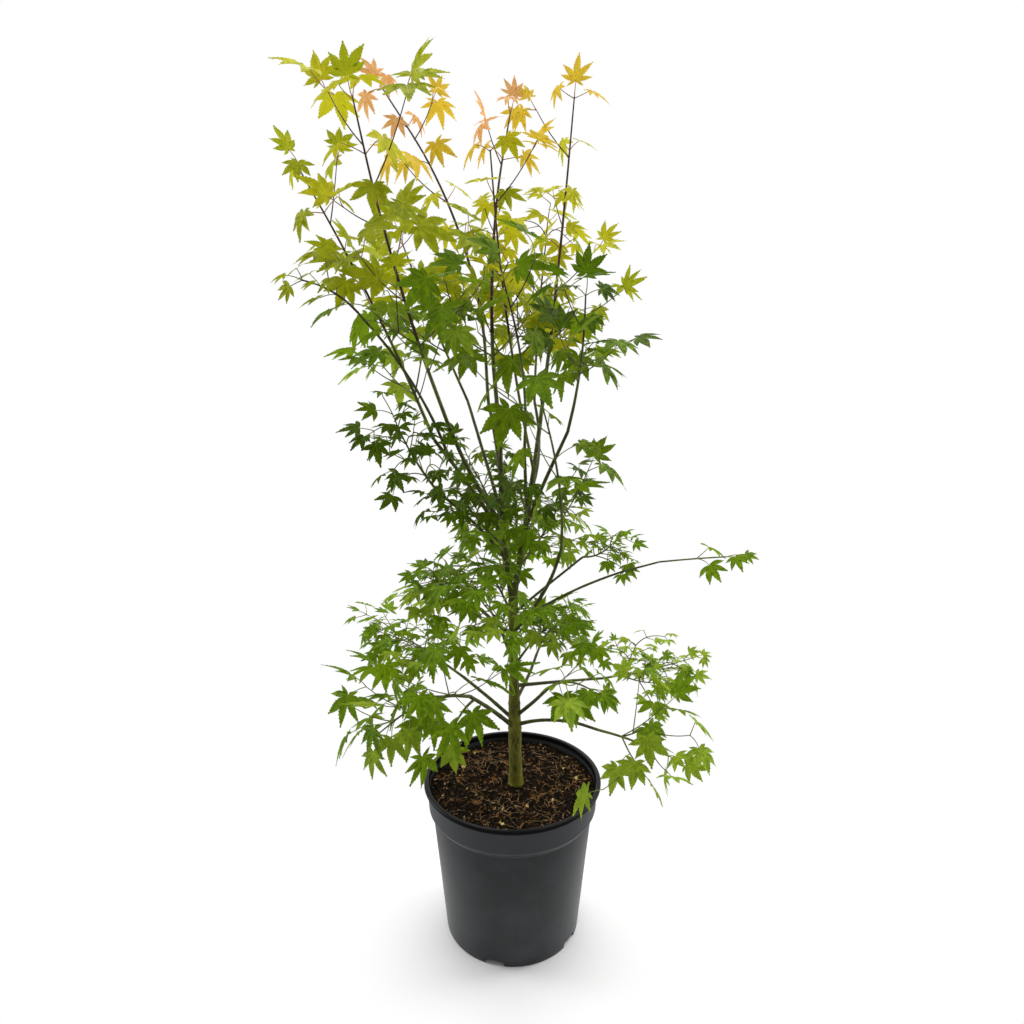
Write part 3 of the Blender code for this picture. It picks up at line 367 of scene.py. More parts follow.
LEAF_TINTS = {  # deep shade, pale shade, light through the blade
    "peach": ("#CC9048", "#E4B078", "#F0B870"),
    "golden": ("#BC9C1C", "#DCBC3C", "#EACA3C"),
    "lime": ("#8E940A", "#B6B81E", "#D4CE26"),
    "yellow_green": ("#6C7A0A", "#96A01A", "#BCC21E"),
    "bright": ("#5C7C18", "#88A630", "#B4CA36"),
    "fresh": ("#3E5C08", "#607E12", "#92B41A"),
    "leaf": ("#384E0A", "#5C7412", "#8CAA18"),
    # dark green leaves, painted darker as well where they stand inside the crown, as painted shade
    "dark": ("#223406", "#42560C", "#6A8A12"),
}
VEIN_PITCH = 3.4  # mm between side veins
VEIN_WIDTH = 0.5  # mm, twice the real width so that it shows
SIDE_VEIN_WIDTH = VEIN_WIDTH * 0.7
MARGIN = (0.6, 4.2)  # mm from a lobe's midrib, over which the green pales towards the margin
MOTTLE = 14 * MM
PAINTED_LIGHT_PATCH = 6 * MM  # size of the painted highlight patches, where light would fall straight on the blade
VEIN_DEPTH = 0.25 * MM
BLADE_GLOW = 0.30  # share of the light that comes through the blade


def leaf_finish(tint):
    """Living leaf blade: dull skin, paler to its margin, pale sunken veins, painted highlight patches, bright
    when lit from behind.
    """
    deep, pale, behind = LEAF_TINTS[tint]
    made, tree, shader = new_finish(f"{tint}_leaf_blade", Roughness=0.55, Specular_IOR_Level=0.08)
    lobe = add_node(tree, "SeparateXYZ", None, {0: add_node(tree, "UVMap", {"uv_map": "lobe"})})
    midrib = add_node(tree, "Math", {"operation": "LESS_THAN", 1: VEIN_WIDTH}, {0: lobe.outputs[1]})
    slant = add_node(tree, "Math", {"operation": "SUBTRACT"}, {0: lobe.outputs[0], 1: lobe.outputs[1]})
    step = add_node(tree, "Math", {"operation": "WRAP", 1: VEIN_PITCH, 2: 0.0}, {0: slant})
    side_vein = add_node(tree, "Math", {"operation": "LESS_THAN", 1: SIDE_VEIN_WIDTH}, {0: step})
    faint = add_node(tree, "Math", {"operation": "MULTIPLY", 1: 0.4}, {0: side_vein})
    veins = add_node(tree, "Math", {"operation": "MAXIMUM"}, {0: midrib, 1: faint})
    place_on = add_node(tree, "TexCoord").outputs["Object"]
    cloud = add_node(tree, "TexNoise", {"Scale": 1 / MOTTLE, "Detail": 3.0}, {"Vector": place_on})
    spread = add_node(tree, "MapRange", {"From Min": 0.42, "From Max": 0.60}, {0: cloud})
    margin = add_node(tree, "MapRange", {"From Min": MARGIN[0], "From Max": MARGIN[1], "To Max": 0.55},
                      {0: lobe.outputs[1]})
    paler = add_node(tree, "Math", {"operation": "ADD", "use_clamp": True}, {0: spread, 1: margin})
    skin = add_node(tree, "Mix", {"data_type": "RGBA", 6: linear(deep), 7: linear(pale)}, {0: paler})
    # painted highlight: noise patches in the colour of light through the blade, standing in for light that
    # falls straight on the blade
    sparks = add_node(tree, "TexNoise", {"Scale": 1 / PAINTED_LIGHT_PATCH, "Detail": 2.0}, {"Vector": place_on})
    painted_light_patches = add_node(tree, "MapRange", {"From Min": 0.56, "From Max": 0.64, "To Max": 0.6}, {0: sparks})
    shown = add_node(tree, "Math", {"operation": "MULTIPLY", 1: 0.5}, {0: veins})
    # pale veins and the painted highlight patches, both in the colour of light through the blade
    bright = add_node(tree, "Math", {"operation": "MAXIMUM"}, {0: shown, 1: painted_light_patches})
    veined = add_node(tree, "Mix", {"data_type": "RGBA", 7: linear(behind)}, {0: bright, 6: skin.outputs[2]})
    tree.links.new(veined.outputs[2], shader.inputs["Base Color"])
    dent = {"invert": True, "Distance": VEIN_DEPTH, "Strength": 0.5}
    sunk = add_node(tree, "Bump", dent, {"Height": veins})
    tree.links.new(sunk.outputs[0], shader.inputs["Normal"])
    glow = add_node(tree, "BsdfTranslucent", {"Color": linear(behind)}, {"Normal": sunk})
    both = add_node(tree, "MixShader", {"Fac": BLADE_GLOW}, {1: shader, 2: glow})
    tree.links.new(both.outputs[0], tree.nodes["Material Output"].inputs["Surface"])
    return made


def stalk_finish(name, deep, pale):
    """Young leaf stalk: smooth, waxy and slightly shiny."""
    made, tree, shader = new_finish(name, Roughness=0.42)
    where = add_node(tree, "TexCoord").outputs["Object"]
    skin = in_patches(tree, where, deep, pale, 9 * MM, (0.4, 0.6))
    tree.links.new(skin, shader.inputs["Base Color"])
    return made


STREAKS_PER_MM = 0.9
STREAK_STRETCH = 0.12  # across, beside along
PORES_PER_MM = 0.32
PORE_TINT = "#A59A78"
BARK_DEPTH = 0.35 * MM
BARK_PATCH = 22 * MM


def bark_finish(name, deep, pale, streak, roughness):
    """Thin living bark: dull skin with lengthways streaks about 1 mm apart and pale breathing pores."""
    made, tree, shader = new_finish(name, Roughness=roughness, Specular_IOR_Level=0.2)
    on_skin = add_node(tree, "UVMap", {"uv_map": "bark"})
    drawn = add_node(tree, "Mapping", {"Scale": (1.0, STREAK_STRETCH, 1.0)}, {"Vector": on_skin})
    grain = add_node(tree, "TexNoise", {"Scale": STREAKS_PER_MM, "Detail": 5.0}, {"Vector": drawn})
    lines = add_node(tree, "MapRange", {"From Min": 0.38, "From Max": 0.64}, {0: grain})
    cells = add_node(tree, "TexVoronoi", {"Scale": PORES_PER_MM}, {"Vector": on_skin})
    pores = add_node(tree, "Math", {"operation": "LESS_THAN", 1: 0.16}, {0: cells})
    where = add_node(tree, "TexCoord").outputs["Object"]
    skin = in_patches(tree, where, deep, pale, BARK_PATCH, (0.38, 0.62), 3.0)
    half = add_node(tree, "Math", {"operation": "MULTIPLY", 1: 0.55}, {0: lines})
    lined = add_node(tree, "Mix", {"data_type": "RGBA", 7: linear(streak)}, {0: half, 6: skin})
    dim = add_node(tree, "Math", {"operation": "MULTIPLY", 1: 0.5}, {0: pores})
    dotted = add_node(tree, "Mix", {"data_type": "RGBA", 7: linear(PORE_TINT)}, {0: dim, 6: lined.outputs[2]})
    tree.links.new(dotted.outputs[2], shader.inputs["Base Color"])
    raised = add_node(tree, "Math", {"operation": "ADD"}, {0: lines, 1: pores})
    relief = add_node(tree, "Bump", {"Distance": BARK_DEPTH, "Strength": 0.6}, {"Height": raised})
    tree.links.new(relief.outputs[0], shader.inputs["Normal"])
    return made


LIP_FROM = POT_HEIGHT - LIP_HEIGHT - 2 * MM  # from here up the lip is painted near black, a painted shade
COLLAR_FROM = POT_HEIGHT - COLLAR_HEIGHT  # the collar is paler than the body below it
CHANGE = 2 * MM  # height over which one gives way to the next
DUST_PATCH = 45 * MM
MOULD_GRAIN = 0.9 * MM  # of a 0.2 mm grain, drawn coarser so that it shows


def pot_finish():
    """Moulded polypropylene: satin black and finely grained, greyer where dust dried, and painted near black
    at the lip as painted shade.
    """
    made, tree, shader = new_finish("moulded_polypropylene", IOR=1.49)
    where = add_node(tree, "TexCoord").outputs["Object"]
    cloud = add_node(tree, "TexNoise", {"Scale": 1 / DUST_PATCH, "Detail": 6.0}, {"Vector": where})
    dust = add_node(tree, "MapRange", {"From Min": 0.42, "From Max": 0.70, "To Max": 0.5}, {0: cloud})
    height = add_node(tree, "SeparateXYZ", None, {0: where}).outputs[2]
    collar_span = {"From Min": COLLAR_FROM, "From Max": COLLAR_FROM + CHANGE, "To Max": 0.9}
    collar = add_node(tree, "MapRange", collar_span, {0: height})
    dull = add_node(tree, "Math", {"operation": "ADD", "use_clamp": True}, {0: dust, 1: collar})
    tones = {"data_type": "RGBA", 6: linear("#14171C"), 7: linear("#3B3D41")}
    colour = add_node(tree, "Mix", tones, {0: dull}).outputs[2]
    # painted shade: the lip is painted near black, and made less shiny
    painted_dark_lip = add_node(tree, "MapRange", {"From Min": LIP_FROM, "From Max": LIP_FROM + CHANGE}, {0: height})
    tone = add_node(tree, "Mix", {"data_type": "RGBA", 7: linear("#050506")}, {0: painted_dark_lip, 6: colour})
    tree.links.new(tone.outputs[2], shader.inputs["Base Color"])
    shine = add_node(tree, "MapRange", {"To Min": 0.42, "To Max": 0.14}, {0: painted_dark_lip})
    tree.links.new(shine.outputs[0], shader.inputs["Specular IOR Level"])
    gloss = add_node(tree, "MapRange", {"To Min": 0.34, "To Max": 0.46}, {0: dust})
    tree.links.new(gloss.outputs[0], shader.inputs["Roughness"])
    sparks = add_node(tree, "TexNoise", {"Scale": 1 / MOULD_GRAIN}, {"Vector": where})
    relief = add_node(tree, "Bump", {"Distance": 0.03 * MM, "Strength": 0.35}, {"Height": sparks})
    tree.links.new(relief.outputs[0], shader.inputs["Normal"])
    return made


def earth_finish(name, deep, pale, size, roughness=0.95):
    """Composted bark and peat, torn and damp: matt, fibrous and uneven."""
    made, tree, shader = new_finish(name, Roughness=roughness, Specular_IOR_Level=0.1)
    where = add_node(tree, "TexCoord").outputs["Object"]
    skin = in_patches(tree, where, deep, pale, size, (0.36, 0.64), 6.0)
    tree.links.new(skin, shader.inputs["Base Color"])
    torn = add_node(tree, "TexNoise", {"Scale": 2.5 / size, "Detail": 6.0}, {"Vector": where})
    relief = add_node(tree, "Bump", {"Distance": 0.6 * MM, "Strength": 0.6}, {"Height": torn})
    tree.links.new(relief.outputs[0], shader.inputs["Normal"])
    return made


# Meshes

class Gather:
    """Points, faces and corner coordinates of many small shapes, joined into one piece."""

    def __init__(self):
        self.points, self.faces, self.corners, self.count = [], [], [], 0

    def add(self, points, faces, corners=None):
        self.points.append(np.asarray(points, float))
        self.faces += [tuple(self.count + i for i in face) for face in faces]
        if corners is not None:
            self.corners.append(np.asarray(corners, float))
        self.count += len(points)

    def piece(self, name, finish, slot, coordinates=None, sharp=None):
        mesh = bpy.data.meshes.new(name)
        mesh.from_pydata(np.concatenate(self.points).tolist(), [], self.faces)
        if coordinates:
            layer = mesh.uv_layers.new(name=coordinates)
            layer.uv.foreach_set("vector", np.concatenate(self.corners).astype(np.float32).ravel())
        mesh.materials.append(finish)
        mesh.shade_smooth()
        if sharp:
            mesh.set_sharp_from_angle(angle=math.radians(sharp))
        return in_place(name, mesh)


def in_place(name, mesh):
    """A finished mesh as a piece that rides with the plant."""
    made = new_object(name, mesh)
    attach(made, "root")
    return made


def evenly(count):
    """Shares from 0 to 1 in that many steps."""
    return [i / count for i in range(count + 1)]


def tapered(first, last, count):
    """Radii that change evenly from first to last."""
    return [first + (last - first) * t for t in evenly(count)]


def route(foot, via, tip, steps):
    """Points along one smooth bend from foot to tip that passes through via."""
    before, after = (via - foot).length, (tip - via).length
    share = before / (before + after)
    bend = (via - foot * (1 - share) ** 2 - tip * share ** 2) / (2 * share * (1 - share))
    return [foot * (1 - t) ** 2 + bend * (2 * t * (1 - t)) + tip * t ** 2 for t in steps]


def tube(points, radii, sides, relief=None):
    """A capped tube's points, faces and skin coordinates in mm; relief moves the skin in or out."""
    ahead = [(points[min(i + 1, len(points) - 1)] - points[max(i - 1, 0)]).normalized()
             for i in range(len(points))]
    level = Vector((0.0, 1.0, 0.0)) if abs(ahead[0].y) < 0.9 else Vector((1.0, 0.0, 0.0))
    side = ahead[0].cross(level).normalized()
    skin, lengths, run = [], [], 0.0
    for i, (point, forward, radius) in enumerate(zip(points, ahead, radii)):
        run += (point - points[i - 1]).length if i else 0.0
        lengths.append(run / MM)
        side = (side - forward * side.dot(forward)).normalized()
        other = forward.cross(side)
        for k in range(sides):
            turn = math.tau * k / sides
            reach = radius + (relief(turn, run, radius) if relief else 0.0)
            skin.append(point + (side * math.cos(turn) + other * math.sin(turn)) * reach)
    faces, corners = [], []
    for i in range(len(points) - 1):
        low, high = math.tau * radii[i] / MM / sides, math.tau * radii[i + 1] / MM / sides
        for k in range(sides):
            j = (k + 1) % sides
            faces.append((i * sides + k, i * sides + j, (i + 1) * sides + j, (i + 1) * sides + k))
            corners += [(k * low, lengths[i]), ((k + 1) * low, lengths[i]),
                        ((k + 1) * high, lengths[i + 1]), (k * high, lengths[i + 1])]
    last = (len(points) - 1) * sides
    faces += [tuple(reversed(range(sides))), tuple(range(last, last + sides))]
    corners += [(0.0, 0.0)] * (2 * sides)
    return skin, faces, corners


# Pot

def body_radius(height):
    """Outer radius of the tapering body below the collar."""
    return FOOT_RADIUS + (BODY_RADIUS - FOOT_RADIUS) * height / (POT_HEIGHT - COLLAR_HEIGHT)


def pot_profile():
    """(radius, height, corner radius) from the middle of the floor, up inside and down outside."""
    step = POT_HEIGHT - COLLAR_HEIGHT
    floor = FLOOR_RAISE + WALL
    edge = 0.35 * MM
    return [
        (0.0, floor, 0.0),
        (body_radius(floor) - WALL, floor, 2 * MM),
        (body_radius(step) - WALL, step - WALL, edge),
        (COLLAR_RADIUS - 1.2 * MM - WALL, step + 1 * MM, edge),
        (COLLAR_RADIUS - WALL, POT_HEIGHT - LIP_HEIGHT, edge),
        (COLLAR_RADIUS - 1.0 * MM, POT_HEIGHT - 0.6 * MM, edge),
        (COLLAR_RADIUS - 0.2 * MM, POT_HEIGHT, 0.6 * MM),
        (RIM_RADIUS - 1.0 * MM, POT_HEIGHT, 1.0 * MM),
        (RIM_RADIUS, POT_HEIGHT - 1.2 * MM, 1.0 * MM),
        (RIM_RADIUS, POT_HEIGHT - LIP_HEIGHT + 0.8 * MM, 1.0 * MM),
        (COLLAR_RADIUS + 0.3 * MM, POT_HEIGHT - LIP_HEIGHT - 1.2 * MM, 1.2 * MM),
        (COLLAR_RADIUS - 0.9 * MM, step + 2.6 * MM, 3.0 * MM),
        (COLLAR_RADIUS - 2.6 * MM, step - 0.2 * MM, 1.2 * MM),
        (BODY_RADIUS, step - 3.2 * MM, 3.0 * MM),
        (FOOT_RADIUS + 0.9 * MM, 11.0 * MM, 1.5 * MM),
        (FOOT_RADIUS, 0.8 * MM, 0.5 * MM),
        (FOOT_RADIUS - 0.7 * MM, 0.0, 0.3 * MM),
        (FOOT_RADIUS - 2.4 * MM, 0.0, 0.3 * MM),
        (FOOT_RADIUS - 2.8 * MM, FLOOR_RAISE, 1 * MM),
        (PAD_RADIUS + 2 * MM, FLOOR_RAISE, 1 * MM),
        (PAD_RADIUS, 0.0, 0.3 * MM),
        (0.0, 0.0, 0.0),
    ]


def rounded(before, corner, after, radius):
    """A corner of the profile as a short bend."""
    into, out = (corner - before).normalized(), (after - corner).normalized()
    reach = min(radius, 0.45 * (corner - before).length, 0.45 * (after - corner).length)
    start, end = corner - into * reach, corner + out * reach
    return [start * (1 - t) ** 2 + corner * (2 * t * (1 - t)) + end * t ** 2 for t in evenly(3)]


def make_pot():
    """The bucket turned from its profile, with rounded edges and notches through its foot."""
    corners = [(Vector(corner[:2]), corner[2]) for corner in pot_profile()]
    outline = [corners[0][0]]
    for (before, _), (corner, radius), (after, _) in zip(corners, corners[1:], corners[2:]):
        outline += rounded(before, corner, after, radius)
    outline.append(corners[-1][0])
    mesh = bpy.data.meshes.new("pot_shell")
    work = bmesh.new()
    verts = [work.verts.new((radius, 0.0, height)) for radius, height in outline]
    edges = [work.edges.new(pair) for pair in zip(verts, verts[1:])]
    bmesh.ops.spin(work, geom=verts + edges, axis=(0, 0, 1), cent=(0, 0, 0), angle=math.tau,
                   steps=POT_SEGMENTS, use_merge=True)
    bmesh.ops.remove_doubles(work, verts=work.verts, dist=0.01 * MM)
    bmesh.ops.recalc_face_normals(work, faces=work.faces)
    work.to_mesh(mesh)
    work.free()
    blank = new_object("pot_blank", mesh)
    notches = [notch_cutter(NOTCH_TURN + math.tau * i / NOTCH_COUNT) for i in range(NOTCH_COUNT)]
    for notch in notches:
        knife = blank.modifiers.new("notch", "BOOLEAN")
        knife.operation = "DIFFERENCE"
        knife.object = notch
    bpy.context.view_layer.update()
    graph = bpy.context.evaluated_depsgraph_get()
    shell = bpy.data.meshes.new_from_object(blank.evaluated_get(graph))
    for item in (blank, *notches):
        bpy.data.objects.remove(item, do_unlink=True)
    shell.materials.clear()
    shell.materials.append(pot_finish())
    shell.shade_smooth()
    shell.set_sharp_from_angle(angle=math.radians(POT_SHARP))
    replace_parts(in_place("pot_shell", shell), "pot")


def notch_cutter(angle):
    """A drain notch with round upper corners, to cut through the skirt under the pot."""
    mesh = bpy.data.meshes.new("notch")
    work = bmesh.new()
    bmesh.ops.create_cube(work, size=1.0)
    bmesh.ops.scale(work, vec=(NOTCH_DEPTH, NOTCH_WIDTH, 2 * NOTCH_HEIGHT), verts=work.verts)
    lengthways = [e for e in work.edges
                  if all(v.co.z > 0 for v in e.verts) and abs(e.verts[0].co.y - e.verts[1].co.y) < MM]
    bmesh.ops.bevel(work, geom=lengthways, offset=NOTCH_CORNER, segments=6, affect="EDGES", profile=0.5)
    work.to_mesh(mesh)
    work.free()
    made = new_object("notch", mesh)
    made.location = (FOOT_RADIUS * math.cos(angle), FOOT_RADIUS * math.sin(angle), 0.0)
    made.rotation_euler.z = angle
    return made


# Soil

SOIL_RADIUS = COLLAR_RADIUS - WALL - GAP - 0.6 * MM
SOIL_RINGS = 80
SOIL_SPOKES = 260
SOIL_TAPER = 0.985  # radius of its underside, beside its top
LUMPS_PER_M = (38, 90)
CRUMBS_PER_M = 260
CHIPS = (  # name, deep, pale, count, length, width beside length, thickness beside width
    ("peat_crumbs", "#0B0704", "#21170E", 3000, (1.2 * MM, 3.6 * MM), (0.35, 0.75), 0.75),
    ("bark_chips", "#2A1B0C", "#664828", 380, (2.5 * MM, 7.0 * MM), (0.30, 0.60), 0.42),
    ("red_bark_chips", "#482B14", "#92683E", 90, (4.0 * MM, 12.0 * MM), (0.25, 0.50), 0.35),
    ("bark_slivers", "#6B4E34", "#A98763", 300, (3.0 * MM, 9.0 * MM), (0.08, 0.20), 0.60),
    ("straw_bits", "#A08A66", "#D8C8A4", 150, (1.5 * MM, 6.0 * MM), (0.10, 0.30), 0.40),
    ("pale_grit", "#B59A50", "#E2CF92", 14, (2.5 * MM, 6.0 * MM), (0.50, 0.90), 0.80),
)
CHIP_TILT = (0.6, 0.5)  # radians out of the level, end up and side up
CHIP_RISE = 0.22  # height of a chip's middle over the soil, beside its thickness
CHIP_ROUGH = (0.6, 1.0)  # how far out its corners stay
SOIL_SEED = 11
FIBRES = 200
FIBRE_STEPS = 7
FIBRE_LENGTH = (6, 24)  # mm
FIBRE_BEND = 1.8
FIBRE_MARGIN = 12 * MM


def soil_height(x, y):
    """Level of the lumpy soil, flat where the trunk stands."""
    from_trunk = math.hypot(x - TRUNK_FOOT.x, y - TRUNK_FOOT.y)
    ease = min(1.0, max(0.0, (from_trunk - TRUNK_SEAT) / SEAT_EASE))
    large, small = LUMPS_PER_M
    lump = noise.noise(Vector((x * large, y * large, 1.7)))
    lump += 0.5 * noise.noise(Vector((x * small, y * small, 5.2)))
    return SOIL_LEVEL + SOIL_LUMP * lump * ease


def crumbly(x, y):
    """The soil's lumps with their fine crumbs."""
    crumbs = noise.fractal(Vector((x * CRUMBS_PER_M, y * CRUMBS_PER_M, 3.1)), 0.8, 2.1, 4)
    return soil_height(x, y) + SOIL_CRUMB * crumbs - 0.6 * MM


def make_soil():
    """A crumbly disc down to the pot's wall, with chips, crumbs and fibres that lie in it."""
    points = [(0.0, 0.0, crumbly(0.0, 0.0))]
    for ring in range(1, SOIL_RINGS + 1):
        radius = SOIL_RADIUS * ring / SOIL_RINGS
        for spoke in range(SOIL_SPOKES):
            turn = math.tau * spoke / SOIL_SPOKES
            x, y = radius * math.cos(turn), radius * math.sin(turn)
            points.append((x, y, crumbly(x, y)))
    depth = SOIL_LEVEL - SOIL_DEPTH
    points += [(x * SOIL_TAPER, y * SOIL_TAPER, depth) for x, y, _ in points[-SOIL_SPOKES:]]
    points.append((0.0, 0.0, depth))
    faces = []
    for spoke in range(SOIL_SPOKES):
        after = (spoke + 1) % SOIL_SPOKES
        faces.append((0, 1 + spoke, 1 + after))
        for ring in range(SOIL_RINGS):
            inner, outer = 1 + ring * SOIL_SPOKES, 1 + (ring + 1) * SOIL_SPOKES
            faces.append((inner + spoke, outer + spoke, outer + after, inner + after))
        under = 1 + SOIL_RINGS * SOIL_SPOKES
        faces.append((under + spoke, len(points) - 1, under + after))
    bed = Gather()
    bed.add(points, faces)
    finish = earth_finish("damp_peat", "#0D0804", "#271B10", 4 * MM)
    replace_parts(bed.piece("soil_bed", finish, "potting_soil"), "soil")
    rng = random.Random(SOIL_SEED)
    for name, deep, pale, count, lengths, widths, thickness in CHIPS:
        heap = Gather()
        for _ in range(count):
            length = rng.uniform(*lengths)
            add_chip(heap, rng, length, length * rng.uniform(*widths), thickness)
        heap.piece(name, earth_finish(f"composted_{name}", deep, pale, 3 * MM), "potting_soil", sharp=30)
    add_fibres(rng)


def soil_spot(rng, margin):
    """A seeded place on the soil, clear of the wall and the trunk."""
    while True:
        x, y = rng.uniform(-SOIL_RADIUS, SOIL_RADIUS), rng.uniform(-SOIL_RADIUS, SOIL_RADIUS)
        clear = math.hypot(x - TRUNK_FOOT.x, y - TRUNK_FOOT.y) > TRUNK_RADIUS + TRUNK_FLARE + margin
        if clear and math.hypot(x, y) < SOIL_RADIUS - margin:
            return x, y


def add_chip(heap, rng, length, width, thickness):
    """One broken chip: a rough block, wider than thick, that lies half sunk in the soil."""
    x, y = soil_spot(rng, 0.6 * length)
    turn = Matrix.Rotation(rng.uniform(0, math.tau), 3, "Z")
    for tilt, axis in zip(CHIP_TILT, "YX"):
        turn = turn @ Matrix.Rotation(rng.uniform(-tilt, tilt), 3, axis)
    middle = Vector((x, y, crumbly(x, y) + CHIP_RISE * thickness * width))
    corners = []
    for signs in ((a, b, c) for a in (-1, 1) for b in (-1, 1) for c in (-1, 1)):
        sides = (length, width, width * thickness)
        corner = Vector([sign * side / 2 * rng.uniform(*CHIP_ROUGH) for sign, side in zip(signs, sides)])
        corners.append(middle + turn @ corner)
    heap.add(corners, [(0, 1, 3, 2), (4, 6, 7, 5), (0, 4, 5, 1), (2, 3, 7, 6), (0, 2, 6, 4), (1, 5, 7, 3)])


def add_fibres(rng):
    """Coir and root threads that curl over the soil."""
    threads = Gather()
    for _ in range(FIBRES):
        x, y = soil_spot(rng, FIBRE_MARGIN)
        step = rng.uniform(*FIBRE_LENGTH) * MM / FIBRE_STEPS
        heading, bend = rng.uniform(0, math.tau), rng.uniform(-FIBRE_BEND, FIBRE_BEND)
        line = []
        for t in evenly(FIBRE_STEPS):
            x, y = x + step * math.cos(heading + bend * t), y + step * math.sin(heading + bend * t)
            line.append(Vector((x, y, crumbly(x, y) + (0.4 + 1.6 * math.sin(math.pi * t)) * MM)))
        if math.hypot(x, y) < SOIL_RADIUS - 1.5 * MM:
            thick = tapered(rng.uniform(0.18, 0.36) * MM, 0.12 * MM, FIBRE_STEPS)
            threads.add(*tube(line, thick, 4)[:2])
    finish = earth_finish("coir_fibre", "#7E5D3C", "#C9A77C", 3 * MM, roughness=0.8)
    threads.piece("soil_fibres", finish, "potting_soil")


# Trunk and boughs

def trunk_radius(height):
    """Stout below the low boughs, thinner above them, flared at the soil."""
    low, high = SHOULDER
    t = min(1.0, max(0.0, (height - low) / (high - low)))
    ease = t * t * (3 - 2 * t)
    flare = TRUNK_FLARE * math.exp(-(height - TRUNK_FOOT.z) / FLARE_HEIGHT)
    return TRUNK_RADIUS + (TRUNK_TOP_RADIUS - TRUNK_RADIUS) * ease + flare


def trunk_route():
    """Up the trunk, plumb over its first step."""
    points = route(TRUNK_FOOT, TRUNK_VIA, TRUNK_TIP, TRUNK_STEPS)
    points[0].x, points[0].y = points[1].x, points[1].y
    return points


def limb_foot(routes, parent, height):
    """Where a limb or stem leaves its parent: at a height in mm, or at the tip."""
    points = routes[parent]
    if height is None:
        return points[-1] + (points[-1] - points[-2]).normalized() * GAP
    level = height * MM
    for low, high in zip(points, points[1:]):
        if low.z <= level <= high.z:
            return low.lerp(high, (level - low.z) / (high.z - low.z))
    return min(points, key=lambda p: abs(p.z - level)).copy()


def row_route(foot, row, steps):
    """The route of a limb or stem from its foot, by its row of the table."""
    via, tip = (Vector([value * MM for value in place]) for place in (row.via, row.tip))
    return route(foot, via, tip, evenly(steps))


def limb_routes():
    """Routes and radii of the trunk and every limb, by name, as in the solids."""
    routes, radii = {"trunk": trunk_route()}, {}
    radii["trunk"] = [trunk_radius(p.z) for p in routes["trunk"]]
    for limb in LIMBS:
        foot = limb_foot(routes, limb.parent, limb.height)
        if limb.height is None:
            foot = foot - Vector((0.0, 0.0, FORK_OVERLAP))
        routes[limb.name] = row_route(foot, limb, LIMB_STEPS)
        radii[limb.name] = tapered(limb.radii[0] * MM, limb.radii[1] * MM, LIMB_STEPS)
    return routes, radii


def along_route(points, share):
    """The place and heading at a share of a route."""
    place = share * (len(points) - 1)
    i = min(int(place), len(points) - 2)
    return points[i].lerp(points[i + 1], place - i), (points[i + 1] - points[i]).normalized()


def smooth_route(points, count):
    """The same route in more steps, with its corners rounded."""
    knots = [points[0] * 2 - points[1], *points, points[-1] * 2 - points[-2]]
    line = []
    for share in evenly(count):
        place = min(share * (len(points) - 1), len(points) - 1 - 1e-6)
        i, t = int(place), place - int(place)
        a, b, c, d = knots[i:i + 4]
        line.append((b * 2 + (c - a) * t + (a * 2 - b * 5 + c * 4 - d) * t * t
                     + (b * 3 - a - c * 3 + d) * t ** 3) / 2)
    return line


RELIEF_PITCH = 14 * MM
FINE_PITCH = 2.2 * MM
RING_WIDTH = 1.3 * MM
RING_SWELL = 0.09  # beside the limb's radius
TRUNK_RELIEF = 0.55 * MM
LIMB_RELIEF = 0.2 * MM
STEM_RELIEF = 0.08 * MM


def bark_relief(seed, depth, spots):
    """How a bark skin rises: lengthways ribs, round swellings and rings at old nodes."""
    def height(turn, run, radius):
        around = Vector((math.cos(turn), math.sin(turn), run / RELIEF_PITCH + seed))
        ribs = noise.noise(Vector((around.x * 2.2, around.y * 2.2, around.z * 0.55)))
        swelling = noise.noise(around * 0.7)
        ring = sum(math.exp(-((run - spot) / RING_WIDTH) ** 2) for spot in spots)
        fine = noise.noise(Vector((around.x * 6, around.y * 6, run / FINE_PITCH)))
        return depth * (0.55 * ribs + 0.8 * swelling + 0.25 * fine) + RING_SWELL * radius * ring
    return height


def make_wood(routes):
    """Trunk and limbs as fine tubes with the bark's relief, each swollen where it leaves its parent."""
    trunk = Gather()
    line = smooth_trunk()
    thick = [trunk_radius(point.z) for point in line]
    rings = [height - TRUNK_FOOT.z for height in TRUNK_NODES]
    trunk.add(*tube(line, thick, 48, bark_relief(3.0, TRUNK_RELIEF, rings)))
    bark = bark_finish("smooth_olive_bark", "#3C3E08", "#74741C", "#948E44", 0.62)
    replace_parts(trunk.piece("trunk_bark_skin", bark, "trunk_bark", "bark"), "trunk")
    wood = Gather()
    for number, limb in enumerate(LIMBS):
        line = smooth_route(routes[limb.name], FINE_LIMB_STEPS)
        first, last = (radius * MM for radius in limb.radii)
        collar = 0.0 if limb.height is None else COLLAR_SWELL
        thick = [first + (last - first) * t + first * collar * math.exp(-(t / COLLAR_LENGTH))
                 for t in evenly(FINE_LIMB_STEPS)]
        length = sum((b - a).length for a, b in zip(line, line[1:]))
        rings = [length * share for share in LIMB_RINGS]
        wood.add(*tube(line, thick, 16, bark_relief(7.0 + number, LIMB_RELIEF, rings)))
    bark = bark_finish("young_bough_bark", "#2E3410", "#545C20", "#74744A", 0.55)
    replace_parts(wood.piece("bough_bark_skin", bark, "bough_bark", "bark"), *(limb.name for limb in LIMBS))


def smooth_trunk():
    """The trunk's route in many even steps."""
    coarse = trunk_route()
    fine = route(TRUNK_FOOT, TRUNK_VIA, TRUNK_TIP, evenly(FINE_TRUNK_STEPS))
    base = [p for p in fine if p.z > coarse[1].z]
    return [coarse[0], coarse[0].lerp(coarse[1], 0.5), coarse[1], *base]


# Leaves

